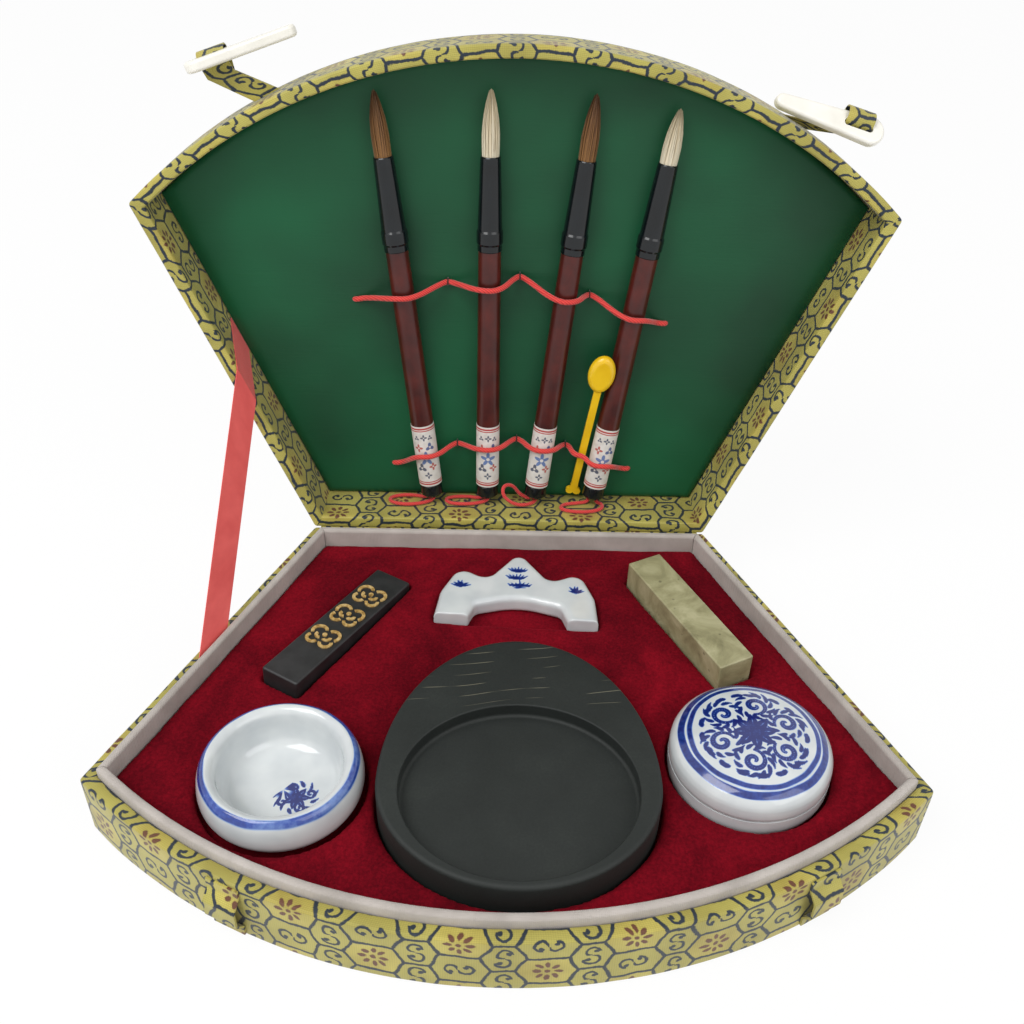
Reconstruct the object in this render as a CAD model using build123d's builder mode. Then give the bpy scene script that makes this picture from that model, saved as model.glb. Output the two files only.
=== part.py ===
from build123d import *
from math import asin, atan2, ceil, cos, degrees, hypot, pi, radians, sin, sqrt, tan
import os

# Calligraphy set in a fan-shaped brocade box, standing open.
# Millimetres, +Z up, X across the box, the hinge at the back (+Y) and the curved front towards -Y.
# The origin is the middle of the base's underside. A "run" is a distance from the hinge edge,
# measured over the base or the lid; a "height" in the lid is measured from its rim plane towards
# the viewer, so what lies inside the lid has a negative height.

# ---------------------------------------------------------------- driving dimensions: the box
front_half_width = 145.0
back_half_width = 84.0
side_depth = 138.0
arc_reach = 197.0
base_height = 26.0
lid_depth = 26.0
lid_lean = 8.0
corner_round = 1.6
rim_width = 5.0
brocade = 0.6
rim_edge_round = 0.4
brocade_turn_in = 12.0
brocade_turn_under = 14.0
paper = 0.4
paper_margin = 4.0
floor_board = 3.0
lid_top_board = 2.0
mitre_gap = 0.2
fit_gap = 0.05
liner_thickness = 3.0
liner_stand = 4.5
liner_edge_round = 1.3
liner_edge_facets = 4
liner_arc_turn = 50.0
velvet_below_rim = 3.0
velvet_gap = 0.3
panel_card = 0.8
panel_pad = 1.4
panel_pad_round = 1.0
panel_gap = 0.6
hinge_cloth_thickness = 0.5
hinge_cloth_reach = 14.0
hinge_cloth_margin = 2.5

# ---------------------------------------------------------------- driving dimensions: ribbon stay
ribbon_width = 12.0
ribbon_thickness = 0.35
ribbon_base_run = 77.5
ribbon_rim_run = 66.0
ribbon_panel_run = 79.0
ribbon_base_tail = 8.0
ribbon_lid_tail = 1.0
ribbon_lift = 0.25
ribbon_groove_room = 1.0

# ---------------------------------------------------------------- driving dimensions: fastenings
loop_places = {"left": -89.5, "right": 101.0}
loop_width = 12.0
loop_thickness = 0.8
loop_gap = 3.2
loop_tab = 4.0
loop_slope = 4.0
loop_edge_gap = 1.5
strap_width = 10.5
strap_thickness = 1.0
strap_depth = 13.0
strap_root_gap = 0.3
straps = {
    "left": dict(root=-92.3, eye=(-110.5, 188.0, -13.0), lie=19.4, roll=90.0),
    "right": dict(root=102.0, eye=(124.5, 172.6, -9.0), lie=163.4, roll=35.0),
}
toggle_length = 43.0
toggle_head_width = 10.5
toggle_tip_width = 5.6
toggle_thickness = 4.2
toggle_edge_round = 1.3
toggle_slot_width = 2.6
toggle_slot_length = 11.5
toggle_slot_place = 10.5
eye_inner_radius = 3.1
eye_wall = 0.9

# ---------------------------------------------------------------- driving dimensions: brushes
brush_foot_run = 8.5
brush_seat_gap = 0.3
cap_length = 6.0
cap_radius = 4.7
cap_bore_radius = 2.4
cap_bore_depth = 3.0
handle_length = 104.0
handle_radius = 4.8
handle_top_radius = 4.5
handle_edge = 0.3
label_start = 6.4
label_length = 28.6
label_paper = 0.15
ferrule_length = 36.5
ferrule_ring_radius = 5.25
ferrule_ring_length = 6.0
ferrule_low_radius = 4.85
ferrule_top_radius = 3.9
ferrule_socket_depth = 3.0
tuft_radius = 3.35
hair_rings = 5
hair_thickness = 0.4
tuft_backing = 1.5
loop_cord_diameter = 1.6
elastic_diameter = 2.2
elastic_gap = 0.3
crown_bend = 0.85
tack_wire = 0.5
tack_half_length = 1.5
tack_bend = 1.8

# ---------------------------------------------------------------- driving dimensions: contents
pocket_gap = 1.0
seat_gap = 0.2
inkstone_half_width = 47.9
inkstone_back = 66.0
inkstone_front = 42.0
inkstone_thickness = 18.0
inkstone_above_velvet = 9.9
well_half_width = 40.3
well_half_length = 36.0
well_depth = 5.5
ink_stick_size = (72.0, 16.4, 9.0)
ink_stick_tilt = 3.0
ink_stick_above_velvet = 3.5
gilding_relief = 0.5
gilding_stroke = 1.3
seal_size = (66.0, 15.0, 15.0)
seal_above_velvet = 10.0
rest_thickness = 8.0
rest_above_velvet = 4.0
rest_edge_round = 2.4
rest_outline = [
    (-32.6, -16.0, 0.0), (-31.4, -2.0, 12.0), (-25.2, 13.4, 5.5), (-12.8, 6.8, 5.0), (-0.6, 24.9, 4.2),
    (12.8, 6.8, 5.0), (25.2, 13.2, 5.5), (31.4, -2.0, 12.0), (32.8, -16.0, 0.0), (20.6, -16.0, 0.0),
    (17.6, -8.2, 4.0), (0.0, -3.6, 30.0), (-16.6, -9.0, 4.0), (-19.0, -16.0, 0.0),
]
rest_arch_middle = 0.8
rest_arch_span = 42.0
rest_arch_reach = 14.0
dish_height = 20.0
dish_above_velvet = 12.0
dish_belly_radius = 28.2
dish_foot_radius = 19.0
dish_mouth_radius = 21.6
dish_floor_radius = 18.4
dish_wall = 4.4
box_radius = 28.2
box_shoulder_radius = 26.6
box_foot_radius = 21.0
box_wall = 3.2
box_base_height = 13.5
box_lid_height = 13.0
box_above_velvet = 16.0
box_seam_gap = 0.3
box_lip_height = 2.2
paste_depth = 5.0
spoon_foot = (28.2, 10.8, -20.0)
spoon_bowl_place = (36.6, 69.0, -11.3)
spoon_bowl_half_length = 8.6
spoon_bowl_half_width = 5.6
spoon_bowl_rise = 2.8
spoon_wall = 1.0
spoon_thickness = 1.5
spoon_crossing_run = 30.2
spoon_crossing_gap = 0.8
spoon_bend = 3.0
spoon_stem_width = 3.0

# Where each thing lies in the base: across, run of its centre, and its turn from the X axis.
inkstone_place = (3.2, 141.0)
ink_stick_place = (-66.4, 60.4, -121.3)
rest_place = (3.4, 40.0, -3.2)
seal_place = (70.15, 55.4, -63.6)
dish_place = (-77.3, 136.0)
box_place = (83.8, 124.0)

# ---------------------------------------------------------------- derived: levels and frames
hinge_y = arc_reach / 2
wall_board = rim_width - 2 * brocade
floor_bottom = paper + brocade
floor_top = floor_bottom + floor_board
velvet_top = base_height - velvet_below_rim
liner_inside = rim_width + liner_thickness
lid_inside_top = -lid_depth + brocade + lid_top_board
card_front = lid_inside_top + panel_card
pad_front = card_front + panel_pad
brush_axis_height = pad_front + brush_seat_gap + ferrule_ring_radius
brush_length_to_tuft = cap_length + handle_length + ferrule_length

flare = front_half_width - back_half_width
slant = hypot(flare, side_depth)
side_out = (side_depth / slant, -flare / slant)
side_along = (flare / slant, side_depth / slant)
arc_rise = arc_reach - side_depth
arc_radius = (front_half_width**2 + arc_rise**2) / (2 * arc_rise)
arc_centre_run = arc_reach - arc_radius

lean = radians(lid_lean)
hinge_point = Vector(0, hinge_y, base_height)
lid_up = Vector(0, sin(lean), cos(lean))
lid_out = Vector(0, -cos(lean), sin(lean))

os.makedirs("parts", exist_ok=True)


def save(part, name):
    """Label a finished piece and write it."""
    part.label = name
    export_step(part, f"parts/{name}.step")


def base_plane(height):
    """Plane over the base whose y is the run from the hinge edge."""
    return Plane(origin=(0, hinge_y, height), x_dir=(-1, 0, 0), z_dir=(0, 0, 1))


def lid_vector(across, run, height=0.0):
    """A direction given across the lid, along its run and out of its opening."""
    return Vector(1, 0, 0) * across + lid_up * run + lid_out * height


def lid_point(across, run, height):
    """A point given across the lid, along its run and out of its opening."""
    return hinge_point + lid_vector(across, run, height)


def lid_plane(height):
    """Plane over the lid whose y is the run from the hinge edge and whose z points out of the lid."""
    return Plane(origin=lid_point(0, 0, height), x_dir=(1, 0, 0), z_dir=lid_out)


def fan_corners(inset):
    """Back and front corner of the fan drawn in by inset, as (half width, run)."""
    back = (back_half_width + (-inset - inset * side_out[1]) / side_out[0], inset)
    start = (back_half_width - inset * side_out[0], -inset * side_out[1] - arc_centre_run)
    along = start[0] * side_along[0] + start[1] * side_along[1]
    off = start[0] ** 2 + start[1] ** 2 - (arc_radius - inset) ** 2
    reach = -along + sqrt(along**2 - off)
    front = (start[0] + reach * side_along[0], start[1] + reach * side_along[1] + arc_centre_run)
    return back, front


def side_place(run, inset):
    """Half width of the fan's straight side at a run, drawn in by inset."""
    return back_half_width + (-inset - run * side_out[1]) / side_out[0]


def arc_place(across, outset=0.0):
    """Run of the curved front at a place across, moved out by outset along its normal."""
    radius = arc_radius + outset
    return arc_centre_run + sqrt(radius**2 - across**2)


def fan(inset):
    """The fan outline drawn in by inset all round, with the box's rounded corners."""
    (back_x, back_run), (front_x, front_run) = fan_corners(inset)
    with BuildSketch() as face:
        with BuildLine():
            Polyline((-front_x, front_run), (-back_x, back_run), (back_x, back_run), (front_x, front_run))
            ThreePointArc((front_x, front_run), (0, arc_reach - inset), (-front_x, front_run))
        make_face()
        if corner_round - inset > 0.1:
            fillet(face.vertices(), corner_round - inset)
    return face.sketch


def mitre_cuts():
    """Thin cuts along the four corners, where the wall boards meet."""
    with BuildSketch() as cuts:
        with BuildLine():
            for side in (-1, 1):
                for outer, inner in zip(fan_corners(-1), fan_corners(liner_inside + 2)):
                    Line((side * outer[0], outer[1]), (side * inner[0], inner[1]))
        trace(line_width=mitre_gap)
    return cuts.sketch


def ring(plane, outer, inner, height):
    """A band between two insets of the fan, raised from a plane inside the active part."""
    with BuildSketch(plane) as band:
        add(fan(outer))
        add(fan(inner), mode=Mode.SUBTRACT)
    extrude(band.sketch, amount=height)


def slab(plane, inset, height):
    """The fan drawn in by inset, raised from a plane inside the active part."""
    with BuildSketch(plane) as outline:
        add(fan(inset))
    extrude(outline.sketch, amount=height)


def cut_mitres(plane, height):
    """Separate the boards of a ring at its corners."""
    with BuildSketch(plane) as cuts:
        add(mitre_cuts())
    extrude(cuts.sketch, amount=height, mode=Mode.SUBTRACT)


# ================================================================ base
with BuildPart() as bottom_paper:
    slab(base_plane(0), paper_margin, paper)
save(bottom_paper.part, "bottom_paper")

with BuildPart() as base_brocade_cover:
    ring(base_plane(paper), 0, brocade, base_height - paper)
    ring(base_plane(base_height - brocade), 0, rim_width, brocade)
    ring(base_plane(base_height - brocade_turn_in), rim_width - brocade, rim_width, brocade_turn_in)
    ring(base_plane(paper), 0, brocade_turn_under, brocade)
    fillet(base_brocade_cover.faces().sort_by(Axis.Z)[-1].outer_wire().edges(), rim_edge_round)
save(base_brocade_cover.part, "base_brocade_cover")

with BuildPart() as base_floor_board:
    slab(base_plane(floor_bottom), brocade + wall_board + fit_gap, floor_board)
save(base_floor_board.part, "base_floor_board")

wall_height = base_height - brocade - floor_bottom
with BuildPart() as base_walls:
    ring(base_plane(floor_bottom), brocade, brocade + wall_board, wall_height)
    cut_mitres(base_plane(floor_bottom), wall_height)
save(base_walls.part, "base_walls")

liner_height = base_height + liner_stand - floor_top
with BuildPart() as liner_boards:
    ring(base_plane(floor_top), rim_width + fit_gap, liner_inside, liner_height)
    cut_mitres(base_plane(floor_top), liner_height)
    front_blank = liner_boards.solids().sort_by(Axis.Y)[0]
    top_edges = liner_boards.edges().group_by(Axis.Z)[-1].filter_by(GeomType.LINE)
    fillet([edge for edge in top_edges if edge.length > 3 * liner_thickness], liner_edge_round)

# The curved board is turned about the arc's centre, its top edges rounded in small facets.
liner_arc_outer = arc_radius - rim_width - fit_gap
liner_arc_inner = arc_radius - liner_inside
liner_arc_centre = hinge_y - arc_centre_run
with BuildPart() as curved_liner:
    facet_turns = [pi / 2 * step / liner_edge_facets for step in range(liner_edge_facets + 1)]
    round_steps = [(liner_edge_round * (1 - cos(a)), liner_edge_round * (sin(a) - 1)) for a in facet_turns]
    liner_profile = Plane(origin=(0, liner_arc_centre, floor_top), x_dir=(0, -1, 0), z_dir=(-1, 0, 0))
    with BuildSketch(liner_profile) as curved_section:
        with BuildLine():
            Polyline(
                (liner_arc_inner, 0),
                *[(liner_arc_inner + x, liner_height + y) for x, y in round_steps],
                *[(liner_arc_outer - x, liner_height + y) for x, y in reversed(round_steps)],
                (liner_arc_outer, 0),
                close=True,
            )
        make_face()
    for turn in (liner_arc_turn, -liner_arc_turn):
        revolve(
            curved_section.sketch, axis=Axis((0, liner_arc_centre, 0), (0, 0, 1)), revolution_arc=turn
        )
    add(front_blank, mode=Mode.INTERSECT)

# Ribbon stay: where it leaves the base, turns over the lid's rim and goes behind the panel.
ribbon_inset = rim_width + fit_gap + ribbon_thickness / 2
left_along_base = Vector(-side_along[0], -side_along[1], 0)
left_along_lid = lid_vector(-side_along[0], side_along[1])
ribbon_base = Vector(-side_place(ribbon_base_run, ribbon_inset), hinge_y - ribbon_base_run, base_height)
ribbon_fold = lid_point(-side_place(ribbon_rim_run, ribbon_inset), ribbon_rim_run, ribbon_lift)
ribbon_panel = lid_point(-side_place(ribbon_panel_run, ribbon_inset), ribbon_panel_run, pad_front)
ribbon_course = (ribbon_base - ribbon_fold).normalized()
ribbon_base_slit = ribbon_width / sin(radians(ribbon_course.get_angle(left_along_base)))
ribbon_fold_slit = ribbon_width / sin(radians(ribbon_course.get_angle(left_along_lid)))
ribbon_base_plane = Plane(origin=ribbon_base, x_dir=left_along_base, z_dir=(0, 0, -1))
ribbon_fold_plane = Plane(origin=ribbon_fold, x_dir=left_along_lid, z_dir=lid_out)
ribbon_panel_plane = Plane(origin=ribbon_panel, x_dir=left_along_lid, z_dir=lid_out)

liner_sides = {
    "back": liner_boards.solids().sort_by(Axis.Y)[-1],
    "left": liner_boards.solids().sort_by(Axis.X)[0],
    "right": liner_boards.solids().sort_by(Axis.X)[-1],
    "front": curved_liner.part,
}
for side, board in liner_sides.items():
    with BuildPart() as liner:
        add(board)
        if side == "left":
            groove_depth = 2 * (fit_gap + ribbon_thickness)
            groove_rise = liner_stand + ribbon_groove_room
            with BuildSketch(ribbon_base_plane.offset(-groove_rise)):
                Rectangle(ribbon_base_slit + 2 * ribbon_groove_room, groove_depth)
            extrude(amount=ribbon_base_tail + groove_rise + ribbon_groove_room, mode=Mode.SUBTRACT)
    save(liner.part, f"liner_{side}")

with BuildPart() as ribbon_stay:
    with BuildSketch(ribbon_panel_plane.offset(-ribbon_lid_tail)):
        Rectangle(ribbon_fold_slit, ribbon_thickness)
    extrude(amount=ribbon_lid_tail)
    with BuildSketch(ribbon_panel_plane):
        Rectangle(ribbon_fold_slit, ribbon_thickness)
    with BuildSketch(ribbon_fold_plane):
        Rectangle(ribbon_fold_slit, ribbon_thickness)
    loft(ruled=True)
    with BuildSketch(ribbon_fold_plane):
        Rectangle(ribbon_fold_slit, ribbon_thickness)
    with BuildSketch(ribbon_base_plane):
        Rectangle(ribbon_base_slit, ribbon_thickness)
    loft(ruled=True)
    with BuildSketch(ribbon_base_plane):
        Rectangle(ribbon_base_slit, ribbon_thickness)
    extrude(amount=ribbon_base_tail)
save(ribbon_stay.part, "ribbon_stay")
ribbon_free_length = (ribbon_base - ribbon_fold).length
ribbon_lid_length = (ribbon_fold - ribbon_panel).length
print("ribbon stay", round(ribbon_free_length + ribbon_lid_length + ribbon_base_tail + ribbon_lid_tail, 1))

# Cloth hinge: one strip pasted down the base's back and along the lid's hinge side.
with BuildPart() as hinge_cloth:
    cloth_out = fit_gap + hinge_cloth_thickness
    crease = (1 + sin(lean)) / cos(lean)
    lid_heel = hinge_point - lid_out * hinge_cloth_reach
    near_heel, far_heel = lid_heel - lid_up * fit_gap, lid_heel - lid_up * cloth_out
    strip_half = back_half_width - hinge_cloth_margin
    with BuildSketch(Plane.YZ.offset(-strip_half)):
        with BuildLine():
            Polyline(
                (hinge_y + fit_gap, base_height - hinge_cloth_reach),
                (hinge_y + fit_gap, base_height - fit_gap * crease),
                (near_heel.Y, near_heel.Z),
                (far_heel.Y, far_heel.Z),
                (hinge_y + cloth_out, base_height - cloth_out * crease),
                (hinge_y + cloth_out, base_height - hinge_cloth_reach),
                close=True,
            )
        make_face()
    extrude(amount=2 * strip_half)
save(hinge_cloth.part, "hinge_cloth")


# Closure loops: bands of brocade on the curved front, open behind for the toggles.
def arc_frame(across, outset):
    """Point on the curved front with its outward and sideways directions, as seen over the base."""
    run = arc_place(across)
    outward = Vector(across, run - arc_centre_run, 0).normalized()
    return across + outset * outward.X, run + outset * outward.Y, outward


for side, across in loop_places.items():
    place_x, place_run, outward = arc_frame(across, fit_gap)
    out_base = Vector(outward.X, -outward.Y, 0)
    profile_plane = Plane(
        origin=(place_x, hinge_y - place_run, 0), x_dir=out_base, z_dir=out_base.cross(Vector(0, 0, 1))
    )
    low, high = loop_edge_gap, base_height - loop_edge_gap
    crown = loop_gap + loop_thickness / 2
    flat = loop_thickness / 2
    with BuildPart() as closure_loop:
        with BuildLine(profile_plane) as band_line:
            FilletPolyline(
                (flat, low),
                (flat, low + loop_tab),
                (crown, low + loop_tab + loop_slope),
                (crown, high - loop_tab - loop_slope),
                (flat, high - loop_tab),
                (flat, high),
                radius=loop_thickness,
            )
        with BuildSketch(Plane(origin=band_line.line @ 0, x_dir=out_base, z_dir=(0, 0, 1))):
            Rectangle(loop_thickness, loop_width)
        sweep(path=band_line.line)
    save(closure_loop.part, f"closure_loop_{side}")

# ================================================================ lid
with BuildPart() as lid_brocade_cover:
    slab(lid_plane(-lid_depth), 0, brocade)
    ring(lid_plane(-lid_depth), 0, brocade, lid_depth)
    ring(lid_plane(-brocade), 0, rim_width, brocade)
    fillet(
        lid_brocade_cover.faces().sort_by(Axis(hinge_point, lid_out))[-1].outer_wire().edges(), rim_edge_round
    )
save(lid_brocade_cover.part, "lid_brocade_cover")

with BuildPart() as lid_board:
    slab(lid_plane(-lid_depth + brocade), brocade, lid_top_board)
save(lid_board.part, "lid_top_board")

lid_wall_height = -lid_inside_top - brocade
with BuildPart() as lid_walls:
    ring(lid_plane(lid_inside_top), brocade, brocade + wall_board, lid_wall_height)
    cut_mitres(lid_plane(lid_inside_top), lid_wall_height)
save(lid_walls.part, "lid_walls")

with BuildPart() as lid_brocade_lining:
    ring(lid_plane(lid_inside_top), rim_width - brocade, rim_width, lid_wall_height)
save(lid_brocade_lining.part, "lid_brocade_lining")

with BuildPart() as lid_panel_card:
    slab(lid_plane(lid_inside_top), rim_width + panel_gap, panel_card)
save(lid_panel_card.part, "lid_panel_card")

# Brushes: foot place across the lid, lean from the run, length of the tuft, and the route of the
# hanging cord from the cap's bore and back to it: across, run from the foot, height from the axis.
brushes = {
    1: dict(foot=-34.0, lean=-6.7, tuft=25.5),
    2: dict(foot=-9.9, lean=-0.2, tuft=25.5),
    3: dict(foot=11.0, lean=5.9, tuft=25.5),
    4: dict(foot=36.4, lean=8.1, tuft=21.5),
}
hanging_cords = {
    1: [
        (1.1, 1.5, 0.0), (1.1, -2.2, 0.3), (-4.0, -2.3, 4.2), (-11.0, -2.3, 5.6), (-17.0, -2.3, 4.4),
        (-19.4, -2.3, 0.6), (-15.5, -2.3, -2.6), (-8.5, -2.3, -3.2), (-1.1, -2.2, -0.6), (-1.1, 1.5, 0.0),
    ],
    2: [
        (1.1, 1.5, 0.0), (1.1, -2.2, 0.3), (-4.5, -2.3, 3.6), (-11.2, -2.3, 4.6), (-16.7, -2.3, 3.6),
        (-18.7, -2.3, 0.2), (-15.0, -2.3, -2.2), (-8.5, -2.3, -2.6), (-1.1, -2.2, -0.6), (-1.1, 1.5, 0.0),
    ],
    3: [
        (1.1, 1.5, 0.0), (1.1, -2.2, 0.4), (-3.6, -2.3, 4.6), (-9.5, -1.2, 5.8), (-14.2, 2.6, 5.2),
        (-14.0, 6.6, 3.0), (-9.8, 5.6, 0.4), (-6.6, 0.2, -0.6), (-1.1, -2.3, -0.6), (-1.1, 1.5, 0.0),
    ],
    4: [
        (-1.1, 1.5, 0.0), (-1.1, -2.2, 0.4), (-6.6, -2.3, 1.8), (-13.0, -2.3, 3.2), (-14.6, -2.3, 7.4),
        (-8.4, -2.3, 9.8), (-1.0, -2.3, 9.4), (4.2, -2.3, 6.6), (4.4, -2.3, 2.2), (1.1, -2.2, 0.2),
        (1.1, 1.5, 0.0),
    ],
}


def brush_direction(brush):
    """Unit vector along a brush, from its cap to its tip."""
    turn = radians(brush["lean"])
    return lid_vector(sin(turn), cos(turn))


def brush_plane(brush):
    """Plane through a brush's axis, x across the brush and y along it from the foot."""
    turn = radians(brush["lean"])
    foot = lid_point(brush["foot"], brush_foot_run, brush_axis_height)
    return Plane(origin=foot, x_dir=lid_vector(cos(turn), -sin(turn)), z_dir=lid_out)


def brush_across(brush, run):
    """Place of a brush's axis across the lid at a run."""
    return brush["foot"] + (run - brush_foot_run) * tan(radians(brush["lean"]))


def turn_about(plane):
    """Revolve the active profile about a plane's y axis."""
    revolve(axis=Axis(plane.origin, plane.y_dir))


def route_radii(points, share=0.45):
    """Largest tangent arc at each corner of a route that leaves part of both runs straight."""
    corners = [Vector(*point) for point in points]
    radii = []
    for before, corner, after in zip(corners, corners[1:], corners[2:]):
        coming, going = corner - before, after - corner
        turn = radians(coming.get_angle(going))
        radii.append(share * min(coming.length, going.length) / tan(turn / 2))
    return radii


# Elastics: run at the crown over each brush and place (across, run) of the tacks and ends.
elastics = {
    "upper": dict(
        crowns=[100.5, 104.5, 100.5, 93.5],
        tacks=[(-27.0, 104.0), (2.0, 106.8), (30.4, 99.8)],
        ends=[(-65.0, 95.5), (62.6, 87.8)],
    ),
    "lower": dict(
        crowns=[30.4, 34.2, 34.2, 27.4],
        spoon_after=3,
        tacks=[(-23.2, 31.6), (2.4, 34.2), (23.6, 31.8)],
        ends=[(-51.0, 21.0), (52.0, 20.2)],
    ),
}
elastic_radius = elastic_diameter / 2
end_bend = elastic_radius * 1.3
spoon_slope = [(b - a) / (spoon_bowl_place[1] - spoon_foot[1]) for a, b in zip(spoon_foot, spoon_bowl_place)]
spoon_crossing = (
    spoon_foot[0] + (spoon_crossing_run - spoon_foot[1]) * spoon_slope[0] - spoon_stem_width / 2 - 0.2,
    spoon_crossing_run,
    spoon_foot[2] + (spoon_crossing_run - spoon_foot[1]) * spoon_slope[2] + spoon_thickness
    + elastic_radius + spoon_crossing_gap,
)
elastic_rest = pad_front + elastic_radius + fit_gap
tack_radius = elastic_radius + fit_gap + tack_wire / 2


def climb(span, drop, sleeve):
    """Slope of the line that rises from a point beside a brush and just clears a sleeve about it."""
    return tan(atan2(drop, span) + asin(sleeve / hypot(span, drop)))


def elastic_route(elastic):
    """Corner points of an elastic over the four brushes, with the arc at each corner."""
    sleeve = handle_radius + label_paper + elastic_gap + elastic_radius
    first, last = elastic["ends"]
    points = [(*first, pad_front - panel_pad / 2), (*first, elastic_rest)]
    radii = [end_bend]
    for number, brush in brushes.items():
        run = elastic["crowns"][number - 1]
        across = brush_across(brush, run)
        turn = radians(brush["lean"])
        before = points[-1]
        after = (*last, elastic_rest)
        if number < len(brushes):
            low = elastic["tacks"][number - 1]
            after = (low[0] - tack_half_length, low[1], elastic_rest)
        spans = [abs((across - side[0]) * cos(turn) - (run - side[1]) * sin(turn)) for side in (before, after)]
        drops = [brush_axis_height - side[2] for side in (before, after)]
        slopes = [climb(span, drop, sleeve) for span, drop in zip(spans, drops)]
        aside = (drops[0] - drops[1] + slopes[1] * spans[1] - slopes[0] * spans[0]) / sum(slopes)
        rise = slopes[0] * (aside + spans[0]) - drops[0]
        points.append((across + aside * cos(turn), run - aside * sin(turn), brush_axis_height + rise))
        points.append(after)
        radii += [crown_bend * sleeve, tack_bend]
        if number < len(brushes):
            points.append((low[0] + tack_half_length, low[1], elastic_rest))
            radii.append(tack_bend)
        if number == elastic.get("spoon_after"):
            points.append(spoon_crossing)
            radii.append(spoon_bend)
    radii[-1] = end_bend
    points.append((*last, pad_front - panel_pad / 2))
    return [lid_point(*point) for point in points], radii


with BuildPart() as lid_green_pad:
    slab(lid_plane(card_front), rim_width + panel_gap, panel_pad)
    pad_faces = lid_green_pad.faces().sort_by(Axis(hinge_point, lid_out))
    fillet(pad_faces[-1].outer_wire().edges(), panel_pad_round)
    with BuildSketch(lid_plane(card_front)):
        for elastic in elastics.values():
            with Locations(*elastic["ends"]):
                Circle(elastic_radius + 2 * fit_gap)
    extrude(amount=panel_pad, mode=Mode.SUBTRACT)
save(lid_green_pad.part, "lid_green_pad")

for name, elastic in elastics.items():
    points, radii = elastic_route(elastic)
    with BuildPart() as cord:
        with BuildLine() as path:
            FilletPolyline(*points, radius=radii)
        with BuildSketch(Plane(origin=path.line @ 0, z_dir=path.line % 0)):
            Circle(elastic_radius)
        sweep(path=path.line)
    length = sum(edge.length for edge in path.edges())
    print("elastic", name, round(length, 1), round(cord.part.volume / pi / elastic_radius**2, 1))
    save(cord.part, f"elastic_{name}")

# Tacks: small thread staples that hold the elastics down between the brushes.
with BuildPart() as stitches:
    for elastic in elastics.values():
        for across, run in elastic["tacks"]:
            middle = lid_point(across, run, elastic_rest)
            staple_plane = Plane(origin=middle, x_dir=lid_up, z_dir=(1, 0, 0))
            leg = elastic_rest - pad_front - fit_gap
            with BuildLine(staple_plane) as staple:
                Line((tack_radius, -leg), (tack_radius, 0))
                ThreePointArc((tack_radius, 0), (0, tack_radius), (-tack_radius, 0))
                Line((-tack_radius, 0), (-tack_radius, -leg))
            with BuildSketch(Plane(origin=staple.line @ 0, z_dir=staple.line % 0)):
                Circle(tack_wire / 2)
            sweep(path=staple.line)
save(stitches.part, "stitches")


# ================================================================ straps and bone toggles
def strap_frame(side):
    """Root, eye and directions of a strap: tangent at the root, toggle's lie and toggle's width."""
    strap = straps[side]
    across, run, outward = arc_frame(strap["root"], strap_root_gap)
    root = lid_point(across, run, -strap_depth)
    out_of_wall = lid_vector(outward.X, outward.Y)
    tangent = out_of_wall.cross(lid_out)
    lie = radians(strap["lie"])
    along = lid_vector(cos(lie), sin(lie))
    upward = along.cross(lid_out) if side == "right" else lid_out.cross(along)
    roll = radians(strap["roll"])
    toggle_across = lid_out * sin(roll) - upward * cos(roll)
    return root, lid_point(*strap["eye"]), out_of_wall, tangent, along, toggle_across


toggle_rail = (toggle_head_width - toggle_slot_width) / 2
rail_offset = (toggle_slot_width + toggle_rail) / 2
eye_middle_radius = eye_inner_radius + eye_wall / 2
for side in straps:
    root, eye, out_of_wall, tangent, along, toggle_across = strap_frame(side)
    reach = root - eye
    inward = (reach - along * reach.dot(along)).normalized()
    with BuildPart() as strap:
        with BuildSketch(Plane(origin=eye, x_dir=inward, z_dir=along)):
            Circle(eye_inner_radius + eye_wall)
            Circle(eye_inner_radius, mode=Mode.SUBTRACT)
        extrude(amount=strap_width / 2, both=True)
        band_along = along if tangent.dot(along) > 0 else -along
        with BuildSketch(Plane(origin=eye + inward * eye_middle_radius, x_dir=band_along, z_dir=-inward)):
            Rectangle(strap_width, strap_thickness)
        with BuildSketch(Plane(origin=root, x_dir=tangent, z_dir=out_of_wall)):
            Rectangle(strap_width, strap_thickness)
        loft(ruled=True)
    save(strap.part, f"strap_{side}")
    flat = Plane(origin=eye + toggle_across * rail_offset, x_dir=along, z_dir=along.cross(toggle_across))
    with BuildPart() as toggle:
        with BuildSketch(flat) as outline:
            with Locations((toggle_head_width / 2 - toggle_slot_place, 0)):
                Circle(toggle_head_width / 2)
            with Locations((toggle_length - toggle_slot_place - toggle_tip_width / 2, 0)):
                Circle(toggle_tip_width / 2)
            make_hull()
        extrude(amount=toggle_thickness / 2, both=True)
        fillet(toggle.edges(), toggle_edge_round)
        with BuildSketch(flat):
            SlotOverall(toggle_slot_length, toggle_slot_width)
        extrude(amount=toggle_thickness, both=True, mode=Mode.SUBTRACT)
    save(toggle.part, f"toggle_{side}")
    print("strap", side, [round(v, 2) for v in root], [round(v, 2) for v in eye])
    print("axes", side, [round(v, 4) for v in tangent], [round(v, 4) for v in along])

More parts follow.
